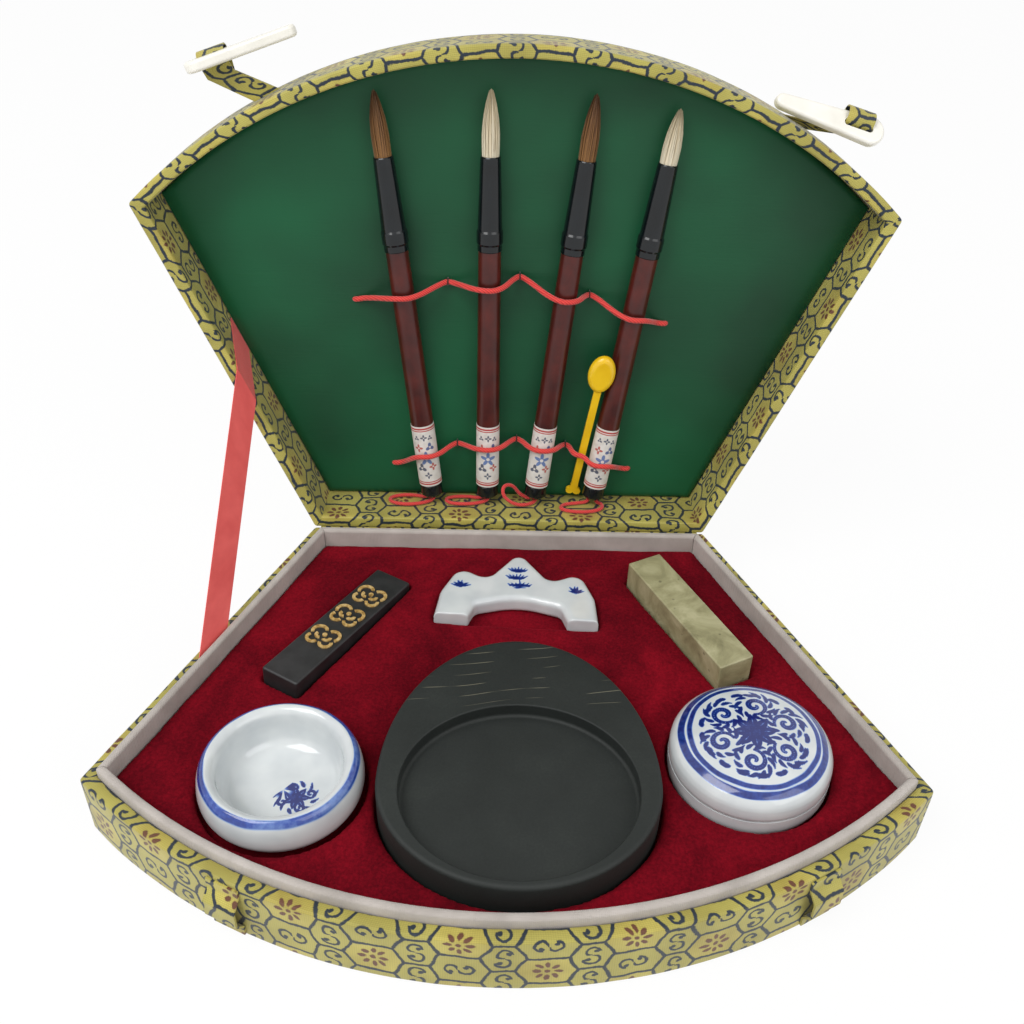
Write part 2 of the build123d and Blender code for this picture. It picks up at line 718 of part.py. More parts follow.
# ================================================================ brushes
def make_tuft(length):
    """Rings of four-sided hairs that belly and gather to a point, standing on a round backing."""
    whole = length + ferrule_socket_depth
    pitch = (tuft_radius - fit_gap - hair_thickness / 2) / hair_rings
    profile = [(0.03, 0.97), (0.4, 1.06), (0.72, 0.72), (1.0, 0.16)]
    hairs = []
    for ring_number in range(hair_rings + 1):
        count = max(1, 6 * ring_number)
        for index in range(count):
            angle = 360 * index / count + 17 * ring_number
            end = 1.0 - 0.05 * ring_number - 0.01 * (index % 3)
            below = [knot for knot in profile if knot[0] < end]
            above = profile[len(below)]
            part_way = (end - below[-1][0]) / (above[0] - below[-1][0])
            below.append((end, below[-1][1] + part_way * (above[1] - below[-1][1])))
            sections = []
            for height, spread in below:
                with BuildSketch(Plane.XY.offset(height * whole), mode=Mode.PRIVATE) as section:
                    with Locations(Location((0, 0), angle)):
                        with Locations((pitch * ring_number * spread, 0)):
                            Rectangle(hair_thickness * spread, hair_thickness * spread)
                sections.append(section.sketch)
            hairs.append(loft(sections, ruled=True, mode=Mode.PRIVATE))
    with BuildPart() as bundle:
        with BuildSketch():
            Circle(tuft_radius - fit_gap)
        extrude(amount=tuft_backing)
        add(hairs)
    return bundle.part


tufts = {length: make_tuft(length) for length in {brush["tuft"] for brush in brushes.values()}}
ferrule_start = cap_length + handle_length
for number, brush in brushes.items():
    plane = brush_plane(brush)
    with BuildPart() as end_cap:
        with BuildSketch(plane):
            with BuildLine():
                Polyline(
                    (0, cap_bore_depth), (cap_bore_radius, cap_bore_depth), (cap_bore_radius, 0),
                    (cap_radius - 1.2, 0), (cap_radius, 1.2), (cap_radius, cap_length - handle_edge),
                    (cap_radius - handle_edge, cap_length), (0, cap_length), close=True,
                )
            make_face()
        turn_about(plane)
    save(end_cap.part, f"brush_{number}_end_cap")
    label_end = label_start + label_length
    with BuildPart() as handle:
        with BuildSketch(plane):
            with BuildLine():
                Polyline(
                    (0, cap_length), (handle_radius - handle_edge, cap_length),
                    (handle_radius, cap_length + handle_edge), (handle_radius, label_end),
                    (handle_top_radius, ferrule_start), (0, ferrule_start), close=True,
                )
            make_face()
        turn_about(plane)
    save(handle.part, f"brush_{number}_handle")
    with BuildPart() as label:
        with BuildSketch(plane):
            with BuildLine():
                Polyline(
                    (handle_radius, label_start), (handle_radius + label_paper, label_start),
                    (handle_radius + label_paper, label_end), (handle_radius, label_end), close=True,
                )
            make_face()
        turn_about(plane)
    save(label.part, f"brush_{number}_label")
    top = ferrule_start + ferrule_length
    ring_from = ferrule_start + 2.6
    ring_to = ring_from + ferrule_ring_length
    with BuildPart() as ferrule:
        with BuildSketch(plane):
            with BuildLine():
                Polyline(
                    (0, ferrule_start), (ferrule_low_radius - 0.3, ferrule_start),
                    (ferrule_low_radius, ferrule_start + 0.3), (ferrule_low_radius, ring_from),
                    (ferrule_ring_radius, ring_from + 0.8), (ferrule_ring_radius, ring_to - 0.8),
                    (ferrule_low_radius, ring_to), (ferrule_top_radius + 0.15, top - 3.0),
                    (ferrule_top_radius, top - 0.4), (ferrule_top_radius - 0.25, top), (tuft_radius, top),
                    (tuft_radius, top - ferrule_socket_depth), (0, top - ferrule_socket_depth), close=True,
                )
            make_face()
        turn_about(plane)
    save(ferrule.part, f"brush_{number}_ferrule")
    seat = plane.from_local_coords((0, top - ferrule_socket_depth, 0))
    with BuildPart() as tuft:
        add(tufts[brush["tuft"]].moved(Plane(origin=seat, x_dir=plane.x_dir, z_dir=plane.y_dir).location))
    save(tuft.part, f"brush_{number}_tuft")
    # Hanging cord: out of the cap's bore, round and back into it.
    foot = (brush["foot"], brush_foot_run, brush_axis_height)
    points = [lid_point(*(a + b for a, b in zip(foot, point))) for point in hanging_cords[number]]
    radii = route_radii(points)
    with BuildPart() as hanging_loop:
        with BuildLine() as path:
            FilletPolyline(*points, radius=radii)
        with BuildSketch(Plane(origin=path.line @ 0, z_dir=path.line % 0)):
            Circle(loop_cord_diameter / 2)
        sweep(path=path.line)
    length = sum(edge.length for edge in path.edges())
    section_area = pi * (loop_cord_diameter / 2) ** 2
    print("hanging loop", number, [round(r, 2) for r in radii])
    print("length", round(length, 1), round(hanging_loop.part.volume / section_area, 1))
    save(hanging_loop.part, f"brush_{number}_hanging_loop")

# ================================================================ contents of the base
def place_plane(place, height):
    """Plane at a place in the base, turned from X about the vertical."""
    across, run = place[0], place[1]
    turn = radians(place[2]) if len(place) > 2 else 0.0
    return Plane(origin=(across, hinge_y - run, height), x_dir=(cos(turn), sin(turn), 0), z_dir=(0, 0, 1))


def inkstone_outline(grow):
    """Egg-shaped outline, longer towards the hinge."""
    with BuildSketch() as egg:
        with BuildLine():
            EllipticalCenterArc((0, 0), inkstone_half_width + grow, inkstone_back + grow, 0, arc_size=180)
            EllipticalCenterArc((0, 0), inkstone_half_width + grow, inkstone_front + grow, 180, arc_size=180)
        make_face()
    return egg.sketch


def rest_face(grow):
    """Outline of the brush rest: three humps above, two feet and an arch below."""
    with BuildSketch() as face:
        with BuildLine():
            Polyline(*[(x, y) for x, y, _ in rest_outline], close=True)
        make_face()
        for x, y, radius in rest_outline:
            if radius:
                fillet(face.vertices().sort_by_distance((x, y))[0], radius)
        if grow:
            offset(amount=grow)
    return face.sketch


inkstone_low = velvet_top + inkstone_above_velvet - inkstone_thickness
inkstone_plane = place_plane(inkstone_place, inkstone_low)
inkstone_top = inkstone_plane.offset(inkstone_thickness)
with BuildPart() as inkstone:
    with BuildSketch(inkstone_plane):
        add(inkstone_outline(0))
    extrude(amount=inkstone_thickness)
    fillet(inkstone.edges().group_by(Axis.Z)[-1], 1.5)
    fillet(inkstone.edges().group_by(Axis.Z)[0], 1.5)
    with BuildSketch(inkstone_top):
        with Locations((0, -3.0)):
            Ellipse(well_half_width, well_half_length)
    extrude(amount=-well_depth, mode=Mode.SUBTRACT)
    fillet(inkstone.edges().filter_by_position(
        Axis.Z, inkstone_low + inkstone_thickness - well_depth - 0.1,
        inkstone_low + inkstone_thickness - well_depth + 0.1), 1.2)
    fillet(inkstone.faces().filter_by(Axis.Z).sort_by(Axis.Z)[-1].inner_wires()[0].edges(), 0.5)
save(inkstone.part, "inkstone")

stick_length, stick_width, stick_thickness = ink_stick_size
stick_level = place_plane(ink_stick_place, velvet_top + ink_stick_above_velvet)
stick_fall = radians(ink_stick_tilt)
stick_normal = Vector(0, 0, 1) * cos(stick_fall) - stick_level.x_dir * sin(stick_fall)
stick_along = stick_level.x_dir * cos(stick_fall) + Vector(0, 0, 1) * sin(stick_fall)
stick_top = Plane(origin=stick_level.origin, x_dir=stick_along, z_dir=stick_normal)
with BuildPart() as ink_stick:
    with BuildSketch(stick_top):
        Rectangle(stick_length, stick_width)
    extrude(amount=-stick_thickness)
    fillet(ink_stick.edges(), 0.9)
save(ink_stick.part, "ink_stick")

# Gilding: three raised scroll medallions along the stick, no writing.
with BuildPart() as ink_stick_gilding:
    for place in (-19.5, -5.0, 10.0):
        with BuildSketch(stick_top.offset(fit_gap)):
            with BuildLine():
                for side in (-1, 1):
                    ThreePointArc((place, side * 5.2), (place - 4.6, side * 3.6), (place - 3.6, side * 0.9))
                    ThreePointArc((place + 1.4, side * 5.0), (place + 4.9, side * 3.2), (place + 3.4, side * 0.9))
                    ThreePointArc((place - 0.6, side * 3.0), (place + 1.3, side * 2.2), (place + 1.2, side * 0.9))
            trace(line_width=gilding_stroke)
            with Locations((place - 1.0, 0)):
                Circle(1.0)
        extrude(amount=gilding_relief)
save(ink_stick_gilding.part, "ink_stick_gilding")

rest_low = velvet_top + rest_above_velvet - rest_thickness
with BuildPart() as brush_rest:
    with BuildSketch(place_plane(rest_place, rest_low)):
        add(rest_face(0))
    extrude(amount=rest_thickness)
    feet = brush_rest.faces().sort_by(Axis.Y)[:2]
    foot_edges = feet.edges()
    level_edges = brush_rest.edges().group_by(Axis.Z)[0] + brush_rest.edges().group_by(Axis.Z)[-1]
    fillet([edge for edge in level_edges if edge not in foot_edges], rest_edge_round)
save(brush_rest.part, "brush_rest")

seal_length, seal_width, seal_height = seal_size
with BuildPart() as seal_stone:
    with BuildSketch(place_plane(seal_place, velvet_top + seal_above_velvet - seal_height)):
        Rectangle(seal_length, seal_width)
    extrude(amount=seal_height)
    fillet(seal_stone.edges(), 0.7)
save(seal_stone.part, "seal_stone")

dish_low = velvet_top + dish_above_velvet - dish_height
dish_centre = place_plane(dish_place, dish_low)
with BuildPart() as water_dish:
    profile = Plane(origin=dish_centre.origin, x_dir=(1, 0, 0), z_dir=(0, -1, 0))
    with BuildSketch(profile):
        with BuildLine():
            Polyline((0, 1.0), (dish_foot_radius - 2.0, 1.0), (dish_foot_radius - 1.6, 0), (dish_foot_radius, 0))
            Spline(
                (dish_foot_radius, 0), (25.6, 5.0), (dish_belly_radius, 11.0), (27.4, 16.6), (25.2, dish_height),
                tangents=[(0.6, 1.0), (-1.0, 0.35)],
            )
            Spline(
                (25.2, dish_height), (23.0, 19.6), (dish_mouth_radius, 17.4), (21.0, 11.0), (dish_floor_radius, 5.8),
                (dish_floor_radius - 4.4, dish_wall), tangents=[(-1.0, 0.05), (-1.0, 0.0)],
            )
            Polyline((dish_floor_radius - 4.4, dish_wall), (0, dish_wall), (0, 1.0))
        make_face()
    turn_about(profile)
save(water_dish.part, "water_dish")

box_low = velvet_top + box_above_velvet - box_base_height - box_seam_gap - box_lid_height
box_centre = place_plane(box_place, box_low).origin
box_profile = Plane(origin=box_centre, x_dir=(1, 0, 0), z_dir=(0, -1, 0))
box_inside = box_radius - box_wall
lip_outer = box_radius - 1.9
seam = box_base_height + box_seam_gap
with BuildPart() as paste_box_base:
    with BuildSketch(box_profile):
        with BuildLine():
            Polyline((0, 1.0), (box_foot_radius - 2.0, 1.0), (box_foot_radius - 1.6, 0), (box_foot_radius, 0))
            Spline((box_foot_radius, 0), (26.6, 4.6), (box_radius, 10.5), tangents=[(0.8, 0.6), (0, 1)])
            Polyline(
                (box_radius, 10.5), (box_radius, box_base_height), (lip_outer, box_base_height),
                (lip_outer, box_base_height + box_lip_height), (box_inside, box_base_height + box_lip_height),
                (box_inside, 6.0), (box_inside - 3.0, 3.4), (0, 3.4), (0, 1.0),
            )
        make_face()
    turn_about(box_profile)
save(paste_box_base.part, "paste_box_base")

paste_top = box_base_height - paste_depth
with BuildPart() as seal_paste:
    with BuildSketch(box_profile):
        with BuildLine():
            Polyline(
                (0, 3.45), (box_inside - 3.0, 3.45), (box_inside - fit_gap, 6.0),
                (box_inside - fit_gap, paste_top - 0.8), (box_inside - 1.2, paste_top), (0, paste_top), close=True,
            )
        make_face()
    turn_about(box_profile)
save(seal_paste.part, "seal_paste")

box_top = seam + box_lid_height
with BuildPart() as paste_box_lid:
    with BuildSketch(box_profile):
        with BuildLine():
            Polyline((lip_outer + 0.35, seam), (box_radius, seam), (box_radius, seam + 3.2))
            Spline(
                (box_radius, seam + 3.2), (26.9, seam + 7.2), (22.5, seam + 10.2), (12.0, box_top - 0.8), (0, box_top),
                tangents=[(0, 1), (-1, 0)],
            )
            Polyline((0, box_top), (0, box_top - box_wall))
            Spline((0, box_top - box_wall), (19.0, seam + 7.6), (box_inside, seam + 3.6), tangents=[(1, 0), (0.3, -1)])
            Polyline(
                (box_inside, seam + 3.6), (lip_outer + 0.35, box_base_height + box_lip_height + 0.4),
                (lip_outer + 0.35, seam),
            )
        make_face()
    turn_about(box_profile)
save(paste_box_lid.part, "paste_box_lid")

# Velvet insert: one block with a recess for every piece.
with BuildPart() as velvet_insert:
    slab(base_plane(floor_top), liner_inside + velvet_gap, velvet_top - floor_top)
    with BuildSketch(inkstone_plane.offset(-seat_gap)):
        add(inkstone_outline(pocket_gap))
    extrude(until=Until.LAST, mode=Mode.SUBTRACT)
    with BuildSketch(place_plane(rest_place, rest_low - seat_gap)):
        add(rest_face(pocket_gap))
        with Locations((rest_arch_middle, rest_outline[0][1] - pocket_gap + rest_arch_reach / 2)):
            Rectangle(rest_arch_span, rest_arch_reach)
    extrude(until=Until.LAST, mode=Mode.SUBTRACT)
    with BuildSketch(place_plane(seal_place, velvet_top + seal_above_velvet - seal_height - seat_gap)):
        Rectangle(seal_length + 2 * pocket_gap, seal_width + 2 * pocket_gap)
    extrude(until=Until.LAST, mode=Mode.SUBTRACT)
    with BuildSketch(place_plane(dish_place, dish_low - seat_gap)):
        Circle(dish_belly_radius + pocket_gap)
    extrude(until=Until.LAST, mode=Mode.SUBTRACT)
    with BuildSketch(place_plane(box_place, box_low - seat_gap)):
        Circle(box_radius + pocket_gap)
    extrude(until=Until.LAST, mode=Mode.SUBTRACT)
    with BuildSketch(stick_top.offset(-stick_thickness - seat_gap)):
        Rectangle(stick_length + 2 * pocket_gap, stick_width + 2 * pocket_gap)
    extrude(amount=2 * stick_thickness, mode=Mode.SUBTRACT)
    fillet(velvet_insert.faces().filter_by(Axis.Z).sort_by(Axis.Z)[-1].edges(), 0.8)
save(velvet_insert.part, "velvet_insert")

# Spoon: a small moulded spoon, back upwards, its three-lobed foot on the panel and its bowl resting
# on the fourth brush.
spoon_from, spoon_to = lid_point(*spoon_foot), lid_point(*spoon_bowl_place)
spoon_along = (spoon_to - spoon_from).normalized()
spoon_across = spoon_along.cross(lid_out).normalized()
spoon_plane = Plane(origin=spoon_from, x_dir=spoon_along, z_dir=spoon_across.cross(spoon_along))
spoon_reach = (spoon_to - spoon_from).length
with BuildPart() as spoon:
    with BuildSketch(spoon_plane):
        with Locations((spoon_reach, 0)):
            Ellipse(spoon_bowl_half_length, spoon_bowl_half_width)
    extrude(amount=spoon_bowl_rise)
    fillet(spoon.faces().sort_by(Axis(spoon_from, spoon_plane.z_dir))[-1].edges(), spoon_bowl_rise - 0.3)
    with BuildSketch(spoon_plane):
        with Locations((spoon_reach, 0)):
            Ellipse(spoon_bowl_half_length - spoon_wall, spoon_bowl_half_width - spoon_wall)
    extrude(amount=spoon_bowl_rise - 1.1, mode=Mode.SUBTRACT)
    with BuildSketch(spoon_plane):
        with Locations(((spoon_reach - spoon_bowl_half_length + spoon_wall) / 2, 0)):
            Rectangle(spoon_reach - spoon_bowl_half_length + spoon_wall, spoon_stem_width)
        with PolarLocations(1.8, 3):
            Circle(1.7)
    extrude(amount=spoon_thickness)
save(spoon.part, "spoon")
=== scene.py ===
"""Looks of the calligraphy set box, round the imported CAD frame.
"""

import random
from functools import partial
from math import acos, atan2, cos, hypot, pi, radians, sin, sqrt, tan

import bpy
import numpy
from mathutils import Matrix, Vector, noise
from mathutils.geometry import interpolate_bezier


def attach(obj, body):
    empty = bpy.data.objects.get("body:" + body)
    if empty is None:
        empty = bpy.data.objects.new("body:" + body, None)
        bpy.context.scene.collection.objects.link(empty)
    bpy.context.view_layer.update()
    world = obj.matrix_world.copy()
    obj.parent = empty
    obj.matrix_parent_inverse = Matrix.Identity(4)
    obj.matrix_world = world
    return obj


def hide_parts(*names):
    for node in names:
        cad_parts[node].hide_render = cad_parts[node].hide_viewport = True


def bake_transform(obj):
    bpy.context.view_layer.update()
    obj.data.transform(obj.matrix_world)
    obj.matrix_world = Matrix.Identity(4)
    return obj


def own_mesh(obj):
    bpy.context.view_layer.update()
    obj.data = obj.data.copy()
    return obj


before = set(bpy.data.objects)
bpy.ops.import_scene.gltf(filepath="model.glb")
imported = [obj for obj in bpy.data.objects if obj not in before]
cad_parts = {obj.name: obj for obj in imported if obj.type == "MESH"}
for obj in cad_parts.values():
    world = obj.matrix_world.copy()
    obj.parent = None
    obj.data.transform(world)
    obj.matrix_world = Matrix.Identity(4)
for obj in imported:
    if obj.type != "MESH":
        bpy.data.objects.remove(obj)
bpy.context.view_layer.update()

# ---------------------------------------------------------------- the box's own measures, as in the part
MM = 0.001
MERGE_WITHIN = 1e-6
FRONT_HALF, BACK_HALF = 145.0, 84.0
SIDE_RUN, FRONT_RUN = 138.0, 197.0
BOX_HEIGHT = 26.0
CORNER_ROUND = 1.6
PANEL_INSET = 5.6
CARD_FRONT, PAD_FRONT = -22.6, -21.2
BRUSH_AXIS = -15.65
ELASTIC_REST = -20.05
HINGE = Vector((0, FRONT_RUN / 2, BOX_HEIGHT))
LEAN = radians(8.0)
LID_UP = Vector((0, sin(LEAN), cos(LEAN)))
LID_OUT = Vector((0, -cos(LEAN), sin(LEAN)))
ACROSS = Vector((1, 0, 0))
SLANT = hypot(FRONT_HALF - BACK_HALF, SIDE_RUN)
SIDE_ALONG = ((FRONT_HALF - BACK_HALF) / SLANT, SIDE_RUN / SLANT)
SIDE_OUT = (SIDE_ALONG[1], -SIDE_ALONG[0])
ARC_RISE = FRONT_RUN - SIDE_RUN
ARC_RADIUS = (FRONT_HALF**2 + ARC_RISE**2) / (2 * ARC_RISE)
ARC_CENTRE = FRONT_RUN - ARC_RADIUS
BRUSHES = {1: (-34.0, -6.7, 25.5), 2: (-9.9, -0.2, 25.5), 3: (11.0, 5.9, 25.5), 4: (36.4, 8.1, 21.5)}
FOOT_RUN = 8.5


def base_point(across, run, height):
    """A point over the base: across, distance from the hinge edge, height above the table."""
    return Vector((across, HINGE.y - run, height))


def lid_vector(across, run, height=0.0):
    """A direction across the lid, along its run and out of its opening."""
    return ACROSS * across + LID_UP * run + LID_OUT * height


def lid_point(across, run, height):
    """A point of the lid: across, distance from the hinge edge, height above its rim."""
    return HINGE + lid_vector(across, run, height)


def fan_corners(inset):
    """Back and front corner of the fan drawn in by inset, as (half width, run)."""
    back = (BACK_HALF + (-inset - inset * SIDE_OUT[1]) / SIDE_OUT[0], inset)
    start = (BACK_HALF - inset * SIDE_OUT[0], -inset * SIDE_OUT[1] - ARC_CENTRE)
    along = start[0] * SIDE_ALONG[0] + start[1] * SIDE_ALONG[1]
    off = start[0] ** 2 + start[1] ** 2 - (ARC_RADIUS - inset) ** 2
    reach = -along + sqrt(along**2 - off)
    return back, (start[0] + reach * SIDE_ALONG[0], start[1] + reach * SIDE_ALONG[1] + ARC_CENTRE)


def side_place(run, inset):
    """Half width of the fan's straight side at a run, drawn in by inset."""
    return BACK_HALF + (-inset - run * SIDE_OUT[1]) / SIDE_OUT[0]


def rounded_corner(corner, back, ahead, radius, steps):
    """Points of the arc that rounds a corner, from the run behind it to the run ahead."""
    half = acos(max(-1.0, min(1.0, back.dot(ahead)))) / 2
    centre = corner + (back + ahead).normalized() * (radius / sin(half))
    start = (corner + back * (radius / tan(half)) - centre).normalized()
    end = (corner + ahead * (radius / tan(half)) - centre).normalized()
    return [centre + start.slerp(end, step / steps) * radius for step in range(steps + 1)]


def rounded_route(points, radius, steps=4):
    """A route of straight runs with every inner corner rounded."""
    route = [Vector(points[0])]
    for before, corner, after in zip(points, points[1:], points[2:]):
        back, ahead = (Vector(before) - Vector(corner)), (Vector(after) - Vector(corner))
        route += rounded_corner(Vector(corner), back.normalized(), ahead.normalized(), radius, steps)
    return route + [Vector(points[-1])]


def evenly(points, spacing):
    """The same route with points no further apart than spacing."""
    out = [Vector(points[0])]
    for a, b in zip(points, points[1:]):
        count = max(1, round((Vector(b) - Vector(a)).length / spacing))
        out += [Vector(a).lerp(Vector(b), step / count) for step in range(1, count + 1)]
    return out


def fan_outline(inset, side_steps=44, back_steps=40, arc_steps=90, corner_steps=4):
    """Points (across, run) round the fan drawn in by inset. Every inset gives the same number of points."""
    (back_x, back_run), (front_x, front_run) = fan_corners(inset)
    radius = max(CORNER_ROUND - inset, 0.25)
    reach = ARC_RADIUS - inset
    tangent = Vector(((front_run - ARC_CENTRE) / reach, front_x / reach, 0))
    up_left = Vector((-SIDE_ALONG[0], SIDE_ALONG[1], 0))
    up_right = Vector((SIDE_ALONG[0], SIDE_ALONG[1], 0))
    corners = [
        (Vector((-back_x, back_run, 0)), ACROSS, up_left),
        (Vector((-front_x, front_run, 0)), -up_left, tangent),
        (Vector((front_x, front_run, 0)), Vector((-tangent.x, tangent.y, 0)), -up_right),
        (Vector((back_x, back_run, 0)), up_right, -ACROSS),
    ]
    rounds = [
        rounded_corner(corner, back, ahead, radius, corner_steps) for corner, back, ahead in corners
    ]
    points = list(rounds[0])
    for number, steps in ((0, side_steps), (1, arc_steps), (2, side_steps), (3, back_steps)):
        a, b = rounds[number][-1], rounds[(number + 1) % 4][0]
        for step in range(1, steps):
            share = step / steps
            if number == 1:
                turn_a, turn_b = atan2(a.x, a.y - ARC_CENTRE), atan2(b.x, b.y - ARC_CENTRE)
                turn = turn_a + (turn_b - turn_a) * share
                points.append(Vector((reach * sin(turn), ARC_CENTRE + reach * cos(turn), 0)))
            else:
                points.append(a.lerp(b, share))
        if number < 3:
            points += rounds[number + 1]
    return points


# ---------------------------------------------------------------- modelling helpers
def deselect():
    """Nothing selected and object mode on, so that the next operator acts on its own piece alone."""
    if bpy.context.object and bpy.context.object.mode != "OBJECT":
        bpy.ops.object.mode_set(mode="OBJECT")
    bpy.ops.object.select_all(action="DESELECT")


def choose(piece):
    """The piece alone selected and active."""
    deselect()
    piece.select_set(True)
    bpy.context.view_layer.objects.active = piece


def edit_all(piece, *steps):
    """Run edit-mode operators on the whole of a piece."""
    choose(piece)
    bpy.ops.object.mode_set(mode="EDIT")
    bpy.ops.mesh.select_all(action="SELECT")
    for step in steps:
        step()
    bpy.ops.object.mode_set(mode="OBJECT")


def merge_doubles(piece):
    """Join the corners of a piece that lie in one place."""
    edit_all(piece, lambda: bpy.ops.mesh.remove_doubles(threshold=MERGE_WITHIN))


def face_outwards(piece, inside=False):
    """Make the faces of a piece look the same way, outwards or all inwards."""
    edit_all(piece, lambda: bpy.ops.mesh.normals_make_consistent(inside=inside))


def mesh_piece(name, corners, faces):
    """A closed piece from its corners, in metres, and its faces."""
    mesh = bpy.data.meshes.new(name)
    mesh.from_pydata(corners, [], faces)
    piece = bpy.data.objects.new(name, mesh)
    bpy.context.scene.collection.objects.link(piece)
    face_outwards(piece)
    return piece


def add_attribute(piece, name, values):
    """Give each corner of a piece its own value, for its material to read."""
    attribute = piece.data.attributes.new(name, "FLOAT", "POINT")
    attribute.data.foreach_set("value", values)


def apply_modifier(piece, kind, **settings):
    """Add a modifier with its settings and apply it."""
    choose(piece)
    modifier = piece.modifiers.new(kind.lower(), kind)
    for name, value in settings.items():
        setattr(modifier, name, value)
    bpy.ops.object.modifier_apply(modifier=modifier.name)


def smooth(piece, degrees_sharp=None):
    """Smooth shading, with edges sharper than the angle kept if one is given."""
    choose(piece)
    if degrees_sharp is None:
        bpy.ops.object.shade_smooth()
    else:
        bpy.ops.object.shade_smooth_by_angle(angle=radians(degrees_sharp))


def net(name, columns, rows, place, uv=None):
    """A grid primitive whose corners are put at place(column, row), with uv(column, row) in millimetres."""
    deselect()
    bpy.ops.mesh.primitive_grid_add(x_subdivisions=columns, y_subdivisions=rows, size=2, calc_uvs=True)
    piece = bpy.context.object
    piece.name = piece.data.name = name
    mesh = piece.data
    cells = []
    for vertex in mesh.vertices:
        column = round((vertex.co.x + 1) / 2 * columns)
        row = round((vertex.co.y + 1) / 2 * rows)
        cells.append((column, row))
    if uv:
        layer = mesh.uv_layers[0].data
        for loop in mesh.loops:
            layer[loop.index].uv = uv(*cells[loop.vertex_index])
    for vertex, cell in zip(mesh.vertices, cells):
        vertex.co = place(*cell) * MM
    mesh.update()
    return piece


def turn_outwards(piece, middle):
    """Flip an open skin whose faces look towards the middle, in millimetres."""
    centre = Vector(middle) * MM
    total = sum(face.area * face.normal.dot(face.center - centre) for face in piece.data.polygons)
    if total < 0:
        edit_all(piece, bpy.ops.mesh.flip_normals)


def swept_band(name, profile, place, shift=0.0, steps=None):
    """A skin that follows the fan. Its profile holds (inset, height) from one edge to the other."""
    steps = steps or {}
    rings = [fan_outline(inset, **steps) for inset, _ in profile]
    edge = fan_outline(0.0, **steps)
    count = len(edge)
    lengths = [0.0]
    for index in range(count):
        lengths.append(lengths[-1] + (edge[(index + 1) % count] - edge[index]).length)
    climbs = [shift]
    for a, b in zip(profile, profile[1:]):
        climbs.append(climbs[-1] + hypot(b[0] - a[0], b[1] - a[1]))

    def corner(column, row):
        """A corner of the skin's net."""
        point = rings[row][column % count]
        return place(point.x, point.y, profile[row][1])

    return net(name, count, len(profile) - 1, corner, lambda column, row: (lengths[column], climbs[row]))


def wander(piece, amount, size, seed=0.0):
    """Move a piece's corners along their normals by soft noise, as hand-laid cloth does."""
    offset = Vector((seed, seed * 0.7, -seed))
    normals = [vertex.normal.copy() for vertex in piece.data.vertices]
    for vertex, normal in zip(piece.data.vertices, normals):
        vertex.co += normal * (noise.noise(vertex.co / (size * MM) + offset) * amount * MM)
    piece.data.update()


def copy_of(node, name):
    """A copy of a CAD node's mesh with its triangles joined, as a piece of its own."""
    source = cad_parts[node]
    mesh = source.data.copy()
    piece = bpy.data.objects.new(name, mesh)
    mesh.name = name
    bpy.context.scene.collection.objects.link(piece)
    piece.matrix_world = source.matrix_world.copy()
    choose(piece)
    bpy.ops.object.transform_apply(location=True, rotation=True, scale=True)
    merge_doubles(piece)
    piece.data.materials.clear()
    return piece


def tube(name, points, diameter, order=3, resolution=8, sides=5):
    """A round cord as a smooth curve whose control points are the route's, in millimetres."""
    curve = bpy.data.curves.new(name, "CURVE")
    curve.dimensions = "3D"
    curve.bevel_depth = diameter / 2 * MM
    curve.bevel_resolution = sides
    curve.resolution_u = resolution
    curve.use_fill_caps = True
    spline = curve.splines.new("NURBS")
    spline.points.add(len(points) - 1)
    for point, place in zip(spline.points, points):
        point.co = (*(Vector(place) * MM), 1.0)
    spline.order_u = order
    spline.use_endpoint_u = True
    piece = bpy.data.objects.new(name, curve)
    bpy.context.scene.collection.objects.link(piece)
    return piece


def finish_piece(piece, material, body, replaced=()):
    """Give a piece its material, its body and the nodes it stands for."""
    piece.data.materials.clear()
    piece.data.materials.append(material)
    if body:
        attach(piece, body)
    if replaced:
        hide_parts(*replaced)
    return piece


# ---------------------------------------------------------------- camera
LENS_PIXELS, FRAME_PIXELS, SENSOR = 1150.0, 1024.0, 36.0
CAMERA_PLACE = Vector((-6.7, -290.4, 337.8))
ELEVATION, YAW, ROLL = radians(37.82), radians(1.12), radians(1.69)
ahead = Vector((sin(YAW) * cos(ELEVATION), cos(YAW) * cos(ELEVATION), -sin(ELEVATION)))
right = Vector((cos(YAW), -sin(YAW), 0))
up = right.cross(ahead)
rolled_right = right * cos(ROLL) + up * sin(ROLL)
rolled_up = up * cos(ROLL) - right * sin(ROLL)
camera_data = bpy.data.cameras.new("camera")
camera_data.sensor_width = SENSOR
camera_data.lens = SENSOR * LENS_PIXELS / FRAME_PIXELS
camera_data.clip_start = 0.01
camera_data.clip_end = 20.0
camera = bpy.data.objects.new("camera", camera_data)
bpy.context.scene.collection.objects.link(camera)
turning = Matrix((rolled_right, rolled_up, -ahead)).transposed()
camera.matrix_world = Matrix.Translation(CAMERA_PLACE * MM) @ turning.to_4x4()
bpy.context.scene.camera = camera
bpy.context.scene.view_settings.view_transform = "Standard"


# ---------------------------------------------------------------- material helpers
def linear(code):
    """An sRGB hex value as the linear colour that the shader takes."""
    parts = [int(code[i : i + 2], 16) / 255 for i in (1, 3, 5)]
    return (*[c / 12.92 if c <= 0.04045 else ((c + 0.055) / 1.055) ** 2.4 for c in parts], 1.0)


